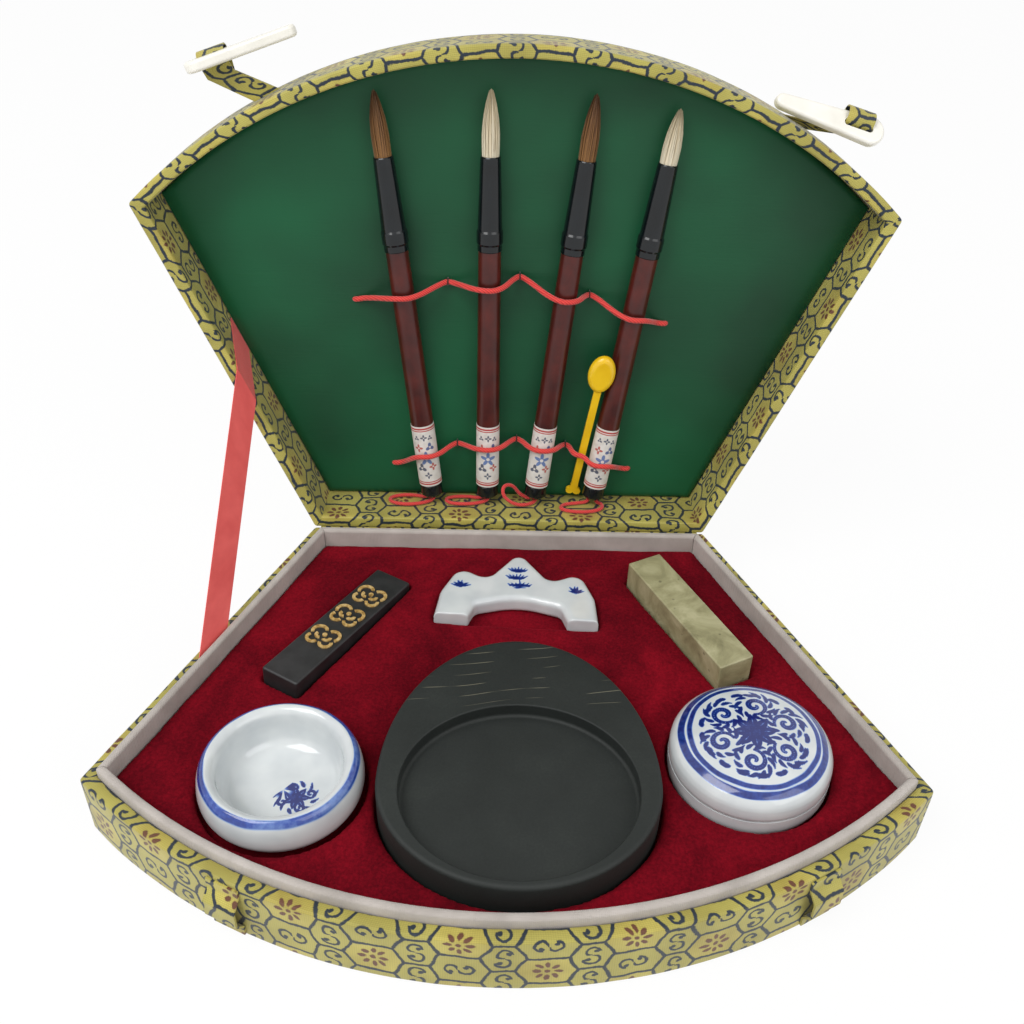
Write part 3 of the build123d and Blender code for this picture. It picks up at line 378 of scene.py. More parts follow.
def add_node(tree, kind, inputs=(), **settings):
    """Add a node with its settings and links. A kind such as "Math ADD" names the operation too.

    Inputs go by name or in order, and each is a value, or a node or socket that feeds it.
    """
    kind, _, operation = kind.partition(" ")
    node = tree.nodes.new("ShaderNode" + kind)
    if operation:
        node.operation = operation
    for name, value in settings.items():
        setattr(node, name, value)
    for name, value in inputs.items() if isinstance(inputs, dict) else enumerate(inputs):
        if isinstance(value, bpy.types.Node):
            value = value.outputs[0]
        if isinstance(value, bpy.types.NodeSocket):
            tree.links.new(value, node.inputs[name])
        elif value is not None:
            node.inputs[name].default_value = value
    return node


def feed(node, socket, value):
    """Link a socket into a node that is already there."""
    node.id_data.links.new(value, node.inputs[socket])


def shade_stops(ramp, *stops):
    """Set a colour ramp's stops, each (place, hex value)."""
    elements = ramp.color_ramp.elements
    while len(elements) < len(stops):
        elements.new(0.5)
    for element, (place, code) in zip(elements, stops):
        element.position = place
        element.color = linear(code)
    return ramp


def start_material(name, **sockets):
    """A material, what adds a node to it, and its principled shader with the plain values set on it."""
    material = bpy.data.materials.new(name)
    material.use_nodes = True
    material.node_tree.nodes.clear()
    add = partial(add_node, material.node_tree)
    names = {
        "color": "Base Color", "roughness": "Roughness", "metallic": "Metallic", "ior": "IOR",
        "specular": "Specular IOR Level", "coat": "Coat Weight", "coat_roughness": "Coat Roughness",
        "sheen": "Sheen Weight", "sheen_roughness": "Sheen Roughness", "sheen_tint": "Sheen Tint",
    }
    shader = add("BsdfPrincipled")
    for key, value in sockets.items():
        shader.inputs[names[key]].default_value = linear(value) if isinstance(value, str) else value
    add("OutputMaterial", {"Surface": shader})
    return material, add, shader


def bump(shader, height, strength, depth_mm):
    """Feed a height pattern to the shader's normal, with its depth in millimetres."""
    relief = {"Strength": strength, "Distance": depth_mm * MM, "Height": height}
    feed(shader, "Normal", add_node(shader.id_data, "Bump", relief).outputs[0])


def mottled(shader, coordinates, size_mm, *stops, detail=3.0):
    """Base colour from soft noise whose patches measure about size_mm."""
    add = partial(add_node, shader.id_data)
    patches = {"Vector": coordinates, "Scale": 1 / (size_mm * MM), "Detail": detail, "Roughness": 0.55}
    ramp = shade_stops(add("ValToRGB", (add("TexNoise", patches),)), *stops)
    feed(shader, "Base Color", ramp.outputs[0])


def object_space(add):
    """The piece's own place in the box, in metres, as coordinates."""
    return add("TexCoord").outputs["Object"]


# ---------------------------------------------------------------- materials
def brocade_material():
    """Satin brocade: gold silk ground, dark blue cell lines, scrolls and brown flowers, all woven in.

    The eye gets a tortoiseshell net with ragged thread edges and the soft gleam of silk. The coordinates
    are the cloth's own, in millimetres. The threads are 0.3 mm apart and drawn at twice that, to show.
    """
    material, add, shader = start_material(
        "woven satin brocade", roughness=0.5, sheen=0.25, sheen_roughness=0.4, specular=0.4
    )
    column, row = 13.5, 13.4
    reach = hypot(column, row / 2)
    even_wider = 1.15
    line_solid, line_gone = 0.42, 0.74
    petal_away, petal_long, petal_wide, heart = 3.5, 1.5, 0.86, 0.95
    scroll_reach, scroll_solid, scroll_gone = 2.25, 0.36, 0.66
    cloth = add("UVMap").outputs["UV"]
    drift = add("TexNoise", {"Vector": cloth, "Scale": 0.12, "Detail": 1.0})
    ragged = add("TexNoise", {"Vector": cloth, "Scale": 1.1, "Detail": 2.0})
    drift = add("VectorMath MULTIPLY_ADD", (drift.outputs["Color"], (2.6, 2.6, 0), (-1.3, -1.3, 0)))
    ragged = add("VectorMath MULTIPLY_ADD", (ragged.outputs["Color"], (0.7, 0.7, 0), (-0.35, -0.35, 0)))
    placed = add("VectorMath ADD", (cloth, drift))
    placed = add("SeparateXYZ", (add("VectorMath ADD", (placed, ragged)),))
    u, v = placed.outputs[0], placed.outputs[1]
    # Where the point lies in the nearest even cell and in the nearest odd cell.
    even_x = add("Math WRAP", (u, column, -column))
    even_y = add("Math WRAP", (v, row / 2, -row / 2))
    odd_x = add("Math WRAP", (add("Math SUBTRACT", (u, column)), column, -column))
    odd_y = add("Math WRAP", (add("Math SUBTRACT", (v, row / 2)), row / 2, -row / 2))
    even = add("CombineXYZ", (even_x, even_y, 0.0))
    odd = add("CombineXYZ", (odd_x, odd_y, 0.0))
    even_far = add("VectorMath LENGTH", (even,)).outputs["Value"]
    odd_far = add("VectorMath LENGTH", (odd,)).outputs["Value"]
    gap = add("Math SUBTRACT", (odd_far, even_far))
    gap = add("Math MULTIPLY", (gap, add("Math ADD", (odd_far, even_far))))
    side = add("Math MULTIPLY_ADD", (gap, 0.5 / reach, even_wider))
    in_even = add("Math GREATER_THAN", (side, 0.0))
    here_y = add("Mix", (in_even, None, odd_y, even_y))
    to_top = add("Math SUBTRACT", (row / 2, add("Math ABSOLUTE", (here_y,))))
    edge = add("Math MINIMUM", (add("Math ABSOLUTE", (side,)), to_top))
    outline = add("MapRange",
                  {"Value": edge, "From Min": line_solid, "From Max": line_gone, "To Min": 1.0,
                   "To Max": 0.0})
    # Flowers in every other even cell: eight petals and a dot.
    cells = add("Math ADD",
                (add("Math ROUND", (add("Math DIVIDE", (u, 2 * column)),)),
                 add("Math ROUND", (add("Math DIVIDE", (v, row)),))))
    odd_count = add("Math FLOORED_MODULO", (cells, 2.0))
    flowery = add("Math MULTIPLY", (add("Math LESS_THAN", (odd_count, 0.5)), in_even))
    bearing = add("Math WRAP", (add("Math ARCTAN2", (even_y, even_x)), pi / 8, -pi / 8))
    radial = add("Math MULTIPLY", (even_far, add("Math COSINE", (bearing,))))
    tangential = add("Math MULTIPLY", (even_far, add("Math SINE", (bearing,))))
    petal = add("CombineXYZ",
                (add("Math MULTIPLY_ADD", (radial, 1 / petal_long, -petal_away / petal_long)),
                 add("Math DIVIDE", (tangential, petal_wide)), 0.0))
    petal = add("VectorMath LENGTH", (petal,)).outputs["Value"]
    petal = add("Math MINIMUM", (petal, add("Math DIVIDE", (even_far, heart))))
    petal = add("MapRange",
                {"Value": petal, "From Min": 0.8, "From Max": 1.15, "To Min": 1.0, "To Max": 0.0})
    petal = add("Math MULTIPLY", (petal, flowery))
    # Scrolls in the other cells: upright in the odd ones, lying in the even ones.
    scroll_x = add("Mix", (in_even, None, odd_x, even_y))
    scroll_y = add("Mix", (in_even, None, odd_y, even_x))
    turn = add("Math SIGN", (scroll_y,))
    bend_x = add("Math MULTIPLY", (scroll_x, turn))
    bend_y = add("Math SUBTRACT", (add("Math ABSOLUTE", (scroll_y,)), scroll_reach))
    bend = add("CombineXYZ", (bend_x, bend_y, 0.0))
    ring = add("Math SUBTRACT", (add("VectorMath LENGTH", (bend,)).outputs["Value"], scroll_reach))
    ring = add("Math ABSOLUTE", (ring,))
    open_side = add("Math MULTIPLY",
                    (add("Math GREATER_THAN", (bend_x, 0.0)), add("Math LESS_THAN", (bend_y, -0.2))))
    ring = add("Math MULTIPLY_ADD", (open_side, 9.0, ring))
    hook = add("VectorMath DISTANCE", (bend, (1.15, 0.1, 0.0))).outputs["Value"]
    hook = add("Math SUBTRACT", (hook, 0.35))
    scroll = add("MapRange",
                 {"Value": add("Math MINIMUM", (ring, hook)), "From Min": scroll_solid,
                  "From Max": scroll_gone, "To Min": 1.0, "To Max": 0.0})
    plain = add("Math SUBTRACT", (1.0, flowery))
    scroll = add("Math MULTIPLY", (scroll, plain))
    dark = add("Math MAXIMUM", (outline, scroll))
    # Silk ground: gold with greener scroll cells, faded in patches.
    fade = add("TexNoise", {"Vector": cloth, "Scale": 0.05, "Detail": 3.0})
    gold = shade_stops(add("ValToRGB", (fade,)), (0.35, "#a69746"), (0.65, "#c2b55a"))
    ground = add("Mix", {0: add("Math MULTIPLY", (plain, 0.35)), 6: gold, 7: linear("#989850")},
                 data_type="RGBA").outputs[2]
    petals = add("Mix", {0: petal, 6: ground, 7: linear("#643c28")}, data_type="RGBA").outputs[2]
    drawn = add("Mix", {0: dark, 6: petals, 7: linear("#1d2936")}, data_type="RGBA").outputs[2]
    # Threads: ribs along and across the cloth, with painted light on their crowns and painted shade between
    # them.
    along = add("TexWave", {"Vector": cloth, "Scale": 0.5, "Distortion": 0.4, "Detail": 1.0},
                bands_direction="Y")
    across = add("TexWave", {"Vector": cloth, "Scale": 0.42, "Distortion": 0.6, "Detail": 1.0},
                 bands_direction="X")
    weave = add("Math MULTIPLY_ADD", (along, 0.6, add("Math MULTIPLY", (across, 0.4))))
    # Painted light and shade of the threads: the weave scales the colour from 0.82 to 1.08.
    painted_thread_light = add("MapRange", {"Value": weave, "To Min": 0.82, "To Max": 1.08})
    colour = add("Mix", {0: 1.0, 6: drawn, 7: painted_thread_light}, data_type="RGBA", blend_type="MULTIPLY").outputs[2]
    feed(shader, "Base Color", colour)
    relief = add("Math MULTIPLY_ADD", (add("Math MAXIMUM", (dark, petal)), 0.5, weave))
    bump(shader, relief, 0.5, 0.12)
    return material


def cloth_material(name, stops, patch_mm, thread_mm, roughness):
    """Plain woven cloth: patchy dye and a fine square weave on the piece's own place in the box."""
    material, add, shader = start_material(name, roughness=roughness, sheen=0.2, sheen_roughness=0.5)
    place = object_space(add)
    mottled(shader, place, patch_mm, *stops)
    threads = {"Vector": place, "Scale": 0.314 / (thread_mm * MM), "Distortion": 0.5, "Detail": 1.0}
    ribs = tuple(add("TexWave", threads, bands_direction=direction) for direction in "XY")
    bump(shader, add("Math ADD", ribs), 0.5, 0.1)
    return material


def velvet_material():
    """Crimson cotton velvet: no gloss, a lit nap at the edges, and painted sheen and shade in patches where
    the pile lies another way.
    """
    material, add, shader = start_material(
        "crimson cotton velvet", roughness=1.0, specular=0.05, sheen=0.45, sheen_roughness=0.4,
        sheen_tint="#a01c30",
    )
    place = object_space(add)
    patches = add("TexNoise",
                  {"Vector": place, "Scale": 30.0, "Detail": 5.0, "Roughness": 0.62, "Distortion": 0.8})
    pile = add("TexNoise", {"Vector": place, "Scale": 900.0, "Detail": 3.0, "Roughness": 0.7})
    # Painted sheen and shade: broad lighter and darker patches of nap, mixed with fine pile noise.
    depth = add("Math MULTIPLY_ADD", (pile, 0.45, add("Math MULTIPLY", (patches, 0.6))))
    ramp = shade_stops(add("ValToRGB", (depth,)), (0.3, "#3e060f"), (0.5, "#650a17"), (0.72, "#8c1020"))
    feed(shader, "Base Color", ramp.outputs[0])
    bump(shader, pile, 0.7, 0.35)
    return material


def satin_material():
    """Green polyester satin: smooth, with a broad soft gleam, faint cross threads, and slow patches of
    painted light and shade.
    """
    material, add, shader = start_material(
        "green polyester satin", roughness=0.5, specular=0.35, sheen=0.2, sheen_roughness=0.35,
        sheen_tint="#1f8a54",
    )
    place = object_space(add)
    # Slow patches of painted light and shade: lighter and darker green over about 70 mm.
    mottled(shader, place, 70.0, (0.3, "#083a22"), (0.7, "#0c5a36"), detail=2.0)
    weft = add("TexNoise",
               {"Vector": add("VectorMath MULTIPLY", (place, (60.0, 1400.0, 1400.0))), "Scale": 1.0,
                "Detail": 2.0})
    creases = add("TexNoise", {"Vector": place, "Scale": 60.0, "Detail": 2.0, "Distortion": 0.4})
    bump(shader, add("Math MULTIPLY_ADD", (creases, 3.0, weft)), 0.35, 0.12)
    return material


def ribbon_material(name, light, dark_shade, rib_mm):
    """Satin ribbon: ribs across its length and a silky gleam, on the strip's own millimetres.

    Those coordinates are millimetres already, so the size of its patches is divided by MM.
    """
    material, add, shader = start_material(name, roughness=0.42, sheen=0.25, sheen_roughness=0.4,
                                           specular=0.4)
    cloth = add("UVMap").outputs["UV"]
    mottled(shader, cloth, 14.0 / MM, (0.3, dark_shade), (0.7, light))
    ribs = add("TexWave", {"Vector": cloth, "Scale": 0.314 / rib_mm, "Distortion": 0.3},
               bands_direction="Y")
    bump(shader, ribs, 0.4, 0.06)
    return material


def cord_material(name, light, dark_shade, braid_mm, roughness=0.6):
    """Braided covering of a round elastic or a soft cord: slanting strands, matt polyester."""
    material, add, shader = start_material(name, roughness=roughness, sheen=0.3, sheen_roughness=0.5,
                                           specular=0.3)
    place = object_space(add)
    strands = add("TexWave",
                  {"Vector": place, "Scale": 0.314 / (braid_mm * MM), "Distortion": 1.2, "Detail": 1.0},
                  bands_direction="DIAGONAL")
    # The strands' crowns get painted light and the grooves between them get painted shade.
    ramp = shade_stops(add("ValToRGB", (strands,)), (0.1, dark_shade), (0.55, light))
    feed(shader, "Base Color", ramp.outputs[0])
    bump(shader, strands, 0.5, 0.12)
    return material


def hard_material(name, stops, patch_mm, grain_mm, depth_mm, strength=0.3, **sockets):
    """A hard finish: a colour that drifts over patch_mm, and a grain of grain_mm in its surface."""
    material, add, shader = start_material(name, **sockets)
    place = object_space(add)
    mottled(shader, place, patch_mm, *stops)
    grain = add("TexNoise", {"Vector": place, "Scale": 1 / (grain_mm * MM), "Detail": 3.0})
    bump(shader, grain, strength, depth_mm)
    return material


def porcelain_material():
    """Glazed white porcelain, cobalt painted under the glaze, from each piece's own attribute."""
    material, add, shader = start_material(
        "glazed porcelain, cobalt painted", roughness=0.12, ior=1.5, coat=0.4, coat_roughness=0.04
    )
    place = object_space(add)
    glaze = add("TexNoise", {"Vector": place, "Scale": 90.0, "Detail": 2.0})
    white = shade_stops(add("ValToRGB", (glaze,)), (0.3, "#c8cdcf"), (0.7, "#d8dcdc"))
    wash = add("TexNoise", {"Vector": place, "Scale": 600.0, "Detail": 2.0})
    painted = add("Attribute", attribute_name="cobalt").outputs["Fac"]
    thinned = {"Value": wash, "From Min": 0.3, "From Max": 0.7, "To Min": 0.82, "To Max": 1.05}
    pooled = add("Math MULTIPLY", (painted, add("MapRange", thinned)))
    cobalt = shade_stops(add("ValToRGB", (pooled,)), (0.3, "#7c9bd0"), (0.62, "#2d4a9e"),
                         (0.92, "#15226c"))
    covered = add("MapRange", {"Value": painted, "From Max": 0.4})
    colour = add("Mix", {0: covered, 6: white, 7: cobalt}, data_type="RGBA").outputs[2]
    feed(shader, "Base Color", colour)
    ripple = add("TexNoise", {"Vector": place, "Scale": 160.0, "Detail": 1.0})
    bump(shader, ripple, 0.12, 0.15)
    return material


def slate_material():
    """Honed black slate: dull grey-green black with a dusty bloom and faint sawn grain."""
    material, add, shader = start_material("honed black slate", roughness=0.62, specular=0.35)
    place = object_space(add)
    bloom = add("TexNoise", {"Vector": place, "Scale": 38.0, "Detail": 6.0, "Roughness": 0.6})
    dust = add("TexNoise", {"Vector": place, "Scale": 1100.0, "Detail": 2.0})
    both = add("Math MULTIPLY_ADD", (dust, 0.3, add("Math MULTIPLY", (bloom, 0.7))))
    ramp = shade_stops(add("ValToRGB", (both,)), (0.3, "#181c1a"), (0.55, "#212523"), (0.75, "#2b2f2c"))
    # Long scratches fan across the back of the stone, behind the well.
    turned_place = add("VectorRotate", {"Vector": place, "Angle": radians(-9)})
    lines = add("TexWave",
                {"Vector": turned_place, "Scale": 62.0, "Distortion": 5.0, "Detail": 1.0,
                 "Detail Scale": 0.35}, bands_direction="Y")
    lines = add("MapRange", {"Value": lines, "From Min": 0.988, "From Max": 0.998, "To Max": 0.6})
    breaks = add("TexNoise", {"Vector": turned_place, "Scale": 55.0, "Detail": 1.0})
    breaks = add("MapRange", {"Value": breaks, "From Min": 0.48, "From Max": 0.56})
    behind = add("MapRange",
                 {"Value": add("SeparateXYZ", (place,)).outputs[1], "From Min": -0.012,
                  "From Max": -0.004})
    scratches = add("Math MULTIPLY", (add("Math MULTIPLY", (lines, breaks)), behind))
    colour = add("Mix", {0: scratches, 6: ramp, 7: linear("#8a8672")}, data_type="RGBA").outputs[2]
    feed(shader, "Base Color", colour)
    bump(shader, dust, 0.35, 0.08)
    return material


def soapstone_material():
    """Polished soapstone: olive grey with cloudy veins, pale flecks and dark specks."""
    material, add, shader = start_material("polished soapstone", roughness=0.38, specular=0.45)
    place = object_space(add)
    clouds = add("TexNoise",
                 {"Vector": place, "Scale": 70.0, "Detail": 7.0, "Roughness": 0.65, "Distortion": 1.2})
    ramp = shade_stops(add("ValToRGB", (clouds,)), (0.3, "#7d7858"), (0.5, "#9d9873"), (0.68, "#b6b18c"))
    specks = add("TexVoronoi", {"Vector": place, "Scale": 260.0})
    fleck = add("MapRange",
                {"Value": specks.outputs["Distance"], "From Min": 0.1, "From Max": 0.22, "To Min": 0.7,
                 "To Max": 0.0})
    rare = add("TexNoise", {"Vector": place, "Scale": 120.0})
    rare = add("Math GREATER_THAN", (rare, 0.56))
    fleck = add("Math MULTIPLY", (fleck, rare))
    colour = add("Mix", {0: fleck, 6: ramp, 7: linear("#5f5a42")}, data_type="RGBA").outputs[2]
    feed(shader, "Base Color", colour)
    bump(shader, clouds, 0.1, 0.2)
    return material


def gilt_material():
    """Gold paint brushed on raised ink: a dull metal with thin dark places."""
    material, add, shader = start_material("gold paint", roughness=0.5, metallic=0.3)
    place = object_space(add)
    mottled(shader, place, 1.6, (0.3, "#93703a"), (0.46, "#c39d5a"), (0.64, "#e0c285"), detail=4.0)
    grain = add("TexNoise", {"Vector": place, "Scale": 1800.0, "Detail": 2.0})
    bump(shader, grain, 0.6, 0.15)
    return material


def hair_material(name, root, tip):
    """Animal hair: strands that differ in shade, darker in the gaps, with a low gleam."""
    material, add, shader = start_material(name, roughness=0.55, specular=0.3, sheen=0.2,
                                           sheen_roughness=0.4)
    strand = add("Attribute", attribute_name="strand").outputs["Fac"]
    ramp = shade_stops(add("ValToRGB", (strand,)), (0.0, root), (1.0, tip))
    feed(shader, "Base Color", ramp.outputs[0])
    return material


LABEL_BLOSSOMS = [
    (0.2, 13.6, 3.4, 5, "#4d6fa8"), (-2.6, 18.6, 1.9, 4, "#b1473d"), (2.4, 18.8, 2.1, 3, "#2f4d86"),
    (2.7, 9.4, 1.8, 4, "#b1473d"), (-2.4, 9.0, 2.2, 3, "#39435c"), (0.2, 23.4, 1.5, 4, "#39435c"),
    (0.1, 5.4, 1.6, 4, "#39435c"), (-3.0, 23.2, 1.2, 3, "#39435c"), (3.0, 23.0, 1.2, 3, "#39435c"),
]


def label_material():
    """Printed paper label, a little glossy: red rules at both ends and small plain blossoms."""
    material, add, shader = start_material("printed paper label", roughness=0.45, specular=0.4)
    paper_place = add("UVMap").outputs["UV"]
    parts = add("SeparateXYZ", (paper_place,))
    u, v = parts.outputs[0], parts.outputs[1]
    from_middle = add("Math ABSOLUTE", (add("Math SUBTRACT", (v, 14.3)),))
    rules = None
    for place, half in ((13.2, 0.3), (12.2, 0.16)):
        gap = add("Math ABSOLUTE", (add("Math SUBTRACT", (from_middle, place)),))
        rule = add("MapRange",
                   {"Value": gap, "From Min": half, "From Max": half + 0.15, "To Min": 1.0,
                    "To Max": 0.0})
        rules = add("Math MAXIMUM", (rules, rule)) if rules else rule
    wear = add("TexNoise", {"Vector": paper_place, "Scale": 0.35, "Detail": 3.0})
    colour = shade_stops(add("ValToRGB", (wear,)), (0.3, "#d0ccc4"), (0.7, "#e4e1db")).outputs[0]
    for across, up_label, size, lobes, ink in LABEL_BLOSSOMS:
        aside = add("Math SUBTRACT", (u, across))
        above = add("Math SUBTRACT", (v, up_label))
        far = add("VectorMath LENGTH", (add("CombineXYZ", (aside, above, 0.0)),)).outputs["Value"]
        bearing = add("Math MULTIPLY", (add("Math ARCTAN2", (aside, above)), float(lobes)))
        rim = add("Math MULTIPLY_ADD", (add("Math COSINE", (bearing,)), size * 0.32, size * 0.68))
        gap = add("Math SUBTRACT", (far, rim))
        petals = add("MapRange",
                     {"Value": gap, "From Min": -0.15, "From Max": 0.15, "To Min": 0.9, "To Max": 0.0})
        heart = add("Math GREATER_THAN", (far, size * 0.22))
        shown = add("Math MULTIPLY", (petals, heart))
        colour = add("Mix", {0: shown, 6: colour, 7: linear(ink)}, data_type="RGBA").outputs[2]
    colour = add("Mix", {0: rules, 6: colour, 7: linear("#b3403c")}, data_type="RGBA").outputs[2]
    feed(shader, "Base Color", colour)
    bump(shader, wear, 0.1, 0.05)
    return material


brocade = brocade_material()
liner_cloth = cloth_material("off-white cotton over board", ((0.35, "#a9a19a"), (0.65, "#bfb7b0")), 18,
                             0.6, 0.92)
velvet = velvet_material()
green_satin = satin_material()
red_ribbon = ribbon_material("red satin ribbon", "#f86e6a", "#e65a57", 0.5)
red_elastic = cord_material("braided red elastic", "#e5453f", "#b52723", 0.7)
red_cord = cord_material("soft red cord", "#e0423f", "#a92624", 0.6)
dark_thread = cord_material("dark sewing thread", "#3a1512", "#1d0a09", 0.3)
bone = hard_material("polished imitation bone", ((0.35, "#e6e3d8"), (0.65, "#f2efe6")), 14, 0.5, 0.02,
                     0.15, roughness=0.3, coat=0.3, coat_roughness=0.15)
slate = slate_material()
pressed_ink = hard_material("pressed soot ink", ((0.35, "#1b1b1c"), (0.65, "#29292a")), 6, 0.5, 0.06, 0.3,
                            roughness=0.5)
gold_paint = gilt_material()
porcelain = porcelain_material()
soapstone = soapstone_material()
lacquer = hard_material("dark red lacquered wood", ((0.3, "#380d08"), (0.7, "#55180f")), 9, 0.8, 0.03,
                        0.12, roughness=0.4, specular=0.35, coat=0.25, coat_roughness=0.15)
black_plastic = hard_material("gloss black plastic", ((0.3, "#080c0f"), (0.7, "#0f1519")), 10, 0.6, 0.01,
                              0.1, roughness=0.2, specular=0.35, coat=0.2, coat_roughness=0.08)
label_print = label_material()
brown_hair = hair_material("brown brush hair", "#3a1c14", "#936a3c")
cream_hair = hair_material("cream goat hair", "#b9a680", "#f0e8d2")
yellow_plastic = hard_material("yellow moulded plastic", ((0.3, "#e8b90f"), (0.7, "#f6cc22")), 12, 0.7,
                               0.02, 0.12, roughness=0.3, coat=0.2, coat_roughness=0.2)
grey_board = hard_material("grey board", ((0.3, "#8f8674"), (0.7, "#a39a87")), 5, 0.5, 0.08, 0.3,
                           roughness=0.95)
white_paper = hard_material("lining paper", ((0.3, "#d2cec6"), (0.7, "#dedbd4")), 9, 0.4, 0.03, 0.2,
                            roughness=0.9)
paste_red = hard_material("vermilion seal paste", ((0.3, "#8e1712"), (0.7, "#b3231b")), 3, 0.6, 0.2, 0.5,
                          roughness=0.6)


# ---------------------------------------------------------------- CAD nodes that keep their shape
def dress(material, *nodes):
    """Give CAD nodes a better finish, their shape left alone."""
    for node in nodes:
        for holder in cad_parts[node].material_slots:
            holder.material = material


dress(liner_cloth, "liner_back", "liner_left", "liner_right", "liner_front")
dress(grey_board, "base_floor_board", "base_walls", "lid_top_board", "lid_walls", "lid_panel_card")
dress(white_paper, "bottom_paper")
dress(dark_thread, "stitches")
dress(bone, "toggle_left", "toggle_right")
dress(slate, "inkstone")
dress(pressed_ink, "ink_stick")
dress(gold_paint, "ink_stick_gilding")
dress(soapstone, "seal_stone")
dress(porcelain, "paste_box_base")
dress(paste_red, "seal_paste")
dress(yellow_plastic, "spoon")
for number in BRUSHES:
    dress(lacquer, f"brush_{number}_handle")
    dress(black_plastic, f"brush_{number}_ferrule", f"brush_{number}_end_cap")


# ---------------------------------------------------------------- brocade covers
EDGE = 0.9
CLOTH = 0.45
UNDER_EDGE = 0.42
QUARTER = (0, 22, 45, 68, 90)
TURN_IN, INNER_FACE = 4.2, 4.98
INNER_EDGE = INNER_FACE - TURN_IN
BROCADE_WAVE, BROCADE_WAVE_SIZE = 0.12, 14.0
FAN_CLOTH_AT = (300, 7)


def outer_edge(top):
    """Profile of a cover's rounded outer edge, up to its flat top."""
    turns = [radians(angle) for angle in QUARTER[1:]]
    return [(EDGE - EDGE * cos(turn), top - EDGE + EDGE * sin(turn)) for turn in turns]


def rim_turned_in(top):
    """Profile of a cover over the rim of its walls and down their inner side."""
    turns = [radians(angle) for angle in (30, 60, 90)]
    inner = [(TURN_IN + INNER_EDGE * sin(turn), top - INNER_EDGE * (1 - cos(turn))) for turn in turns]
    return outer_edge(top) + [(2.4, top), (TURN_IN, top)] + inner


def grid_place(point):
    """A place, in metres, rounded to a hundredth of a millimetre."""
    return tuple(round(c * 1e5) for c in point)


def close_with_fan(piece, height, inset):
    """Close a band's open edge with one flat face whose pattern lies straight across the fan."""
    merge_doubles(piece)
    mesh = piece.data
    rim = [lid_point(point.x, point.y, height) * MM for point in fan_outline(inset)]
    rim_places = {grid_place(point) for point in rim}
    choose(piece)
    bpy.ops.object.mode_set(mode="EDIT")
    bpy.ops.mesh.select_all(action="DESELECT")
    bpy.ops.object.mode_set(mode="OBJECT")
    for vertex in mesh.vertices:
        vertex.select = grid_place(vertex.co) in rim_places
    bpy.ops.object.mode_set(mode="EDIT")
    bpy.ops.mesh.select_mode(type="VERT")
    bpy.ops.mesh.edge_face_add()
    bpy.ops.object.mode_set(mode="OBJECT")
    layer = mesh.uv_layers[0].data
    for face in mesh.polygons:
        if len(face.vertices) > 4:
            for corner in face.loop_indices:
                point = mesh.vertices[mesh.loops[corner].vertex_index].co / MM - HINGE
                layer[corner].uv = (point.x + FAN_CLOTH_AT[0], point.dot(LID_UP) + FAN_CLOTH_AT[1])


def finish_cover(cover, seed, body, node):
    """Let a brocade cover wave a little, give it the cloth's thickness and put it in place of its node."""
    wander(cover, BROCADE_WAVE, BROCADE_WAVE_SIZE, seed)
    apply_modifier(cover, "SOLIDIFY", thickness=CLOTH * MM, offset=-1.0)
    smooth(cover, 60)
    finish_piece(cover, brocade, body, [node])


low_round = UNDER_EDGE + EDGE
base_profile = [(14.0, UNDER_EDGE), (8.0, UNDER_EDGE), (2.0, UNDER_EDGE)]
for angle in (270, 247.5, 225, 202.5, 180):
    base_profile.append((EDGE + EDGE * cos(radians(angle)), low_round + EDGE * sin(radians(angle))))
base_profile += [(0.0, low_round + 3.2 * step) for step in range(1, 7)] + [(0.0, BOX_HEIGHT - EDGE)]
base_profile += rim_turned_in(BOX_HEIGHT) + [(INNER_FACE, 20.0), (INNER_FACE, 14.2)]
base_cover = swept_band("base_cover", base_profile, base_point, shift=3.0)
merge_doubles(base_cover)
turn_outwards(base_cover, (0, 0, BOX_HEIGHT / 2))
finish_cover(base_cover, 0.0, "base", "base_brocade_cover")

lid_profile = []
for angle in QUARTER:
    turn = radians(angle)
    lid_profile.append((EDGE - EDGE * sin(turn), -BOX_HEIGHT + EDGE * (1 - cos(turn))))
lid_profile += [(0.0, EDGE - BOX_HEIGHT + 3.0 * step) for step in range(1, 8)] + [(0.0, -EDGE)]
lid_profile += rim_turned_in(0.0) + [(INNER_FACE, -2.5)]
lid_cover = swept_band("lid_cover", lid_profile, lid_point, shift=5.0)
close_with_fan(lid_cover, -BOX_HEIGHT, EDGE)
turn_outwards(lid_cover, lid_point(0, 100, -BOX_HEIGHT / 2))
finish_cover(lid_cover, 5.0, "lid", "lid_brocade_cover")

LINING_INSET = 5.12
lining_profile = [(4.9, -0.75), (5.05, -1.0)]
lining_profile += [(LINING_INSET, -1.6 - 2.4 * step) for step in range(10)]
lid_lining = swept_band("lid_lining", lining_profile, lid_point, shift=37.0)
merge_doubles(lid_lining)
face_outwards(lid_lining, inside=True)
apply_modifier(lid_lining, "SOLIDIFY", thickness=0.4 * MM, offset=-1.0)
smooth(lid_lining, 60)
finish_piece(lid_lining, brocade, "lid", ["lid_brocade_lining"])


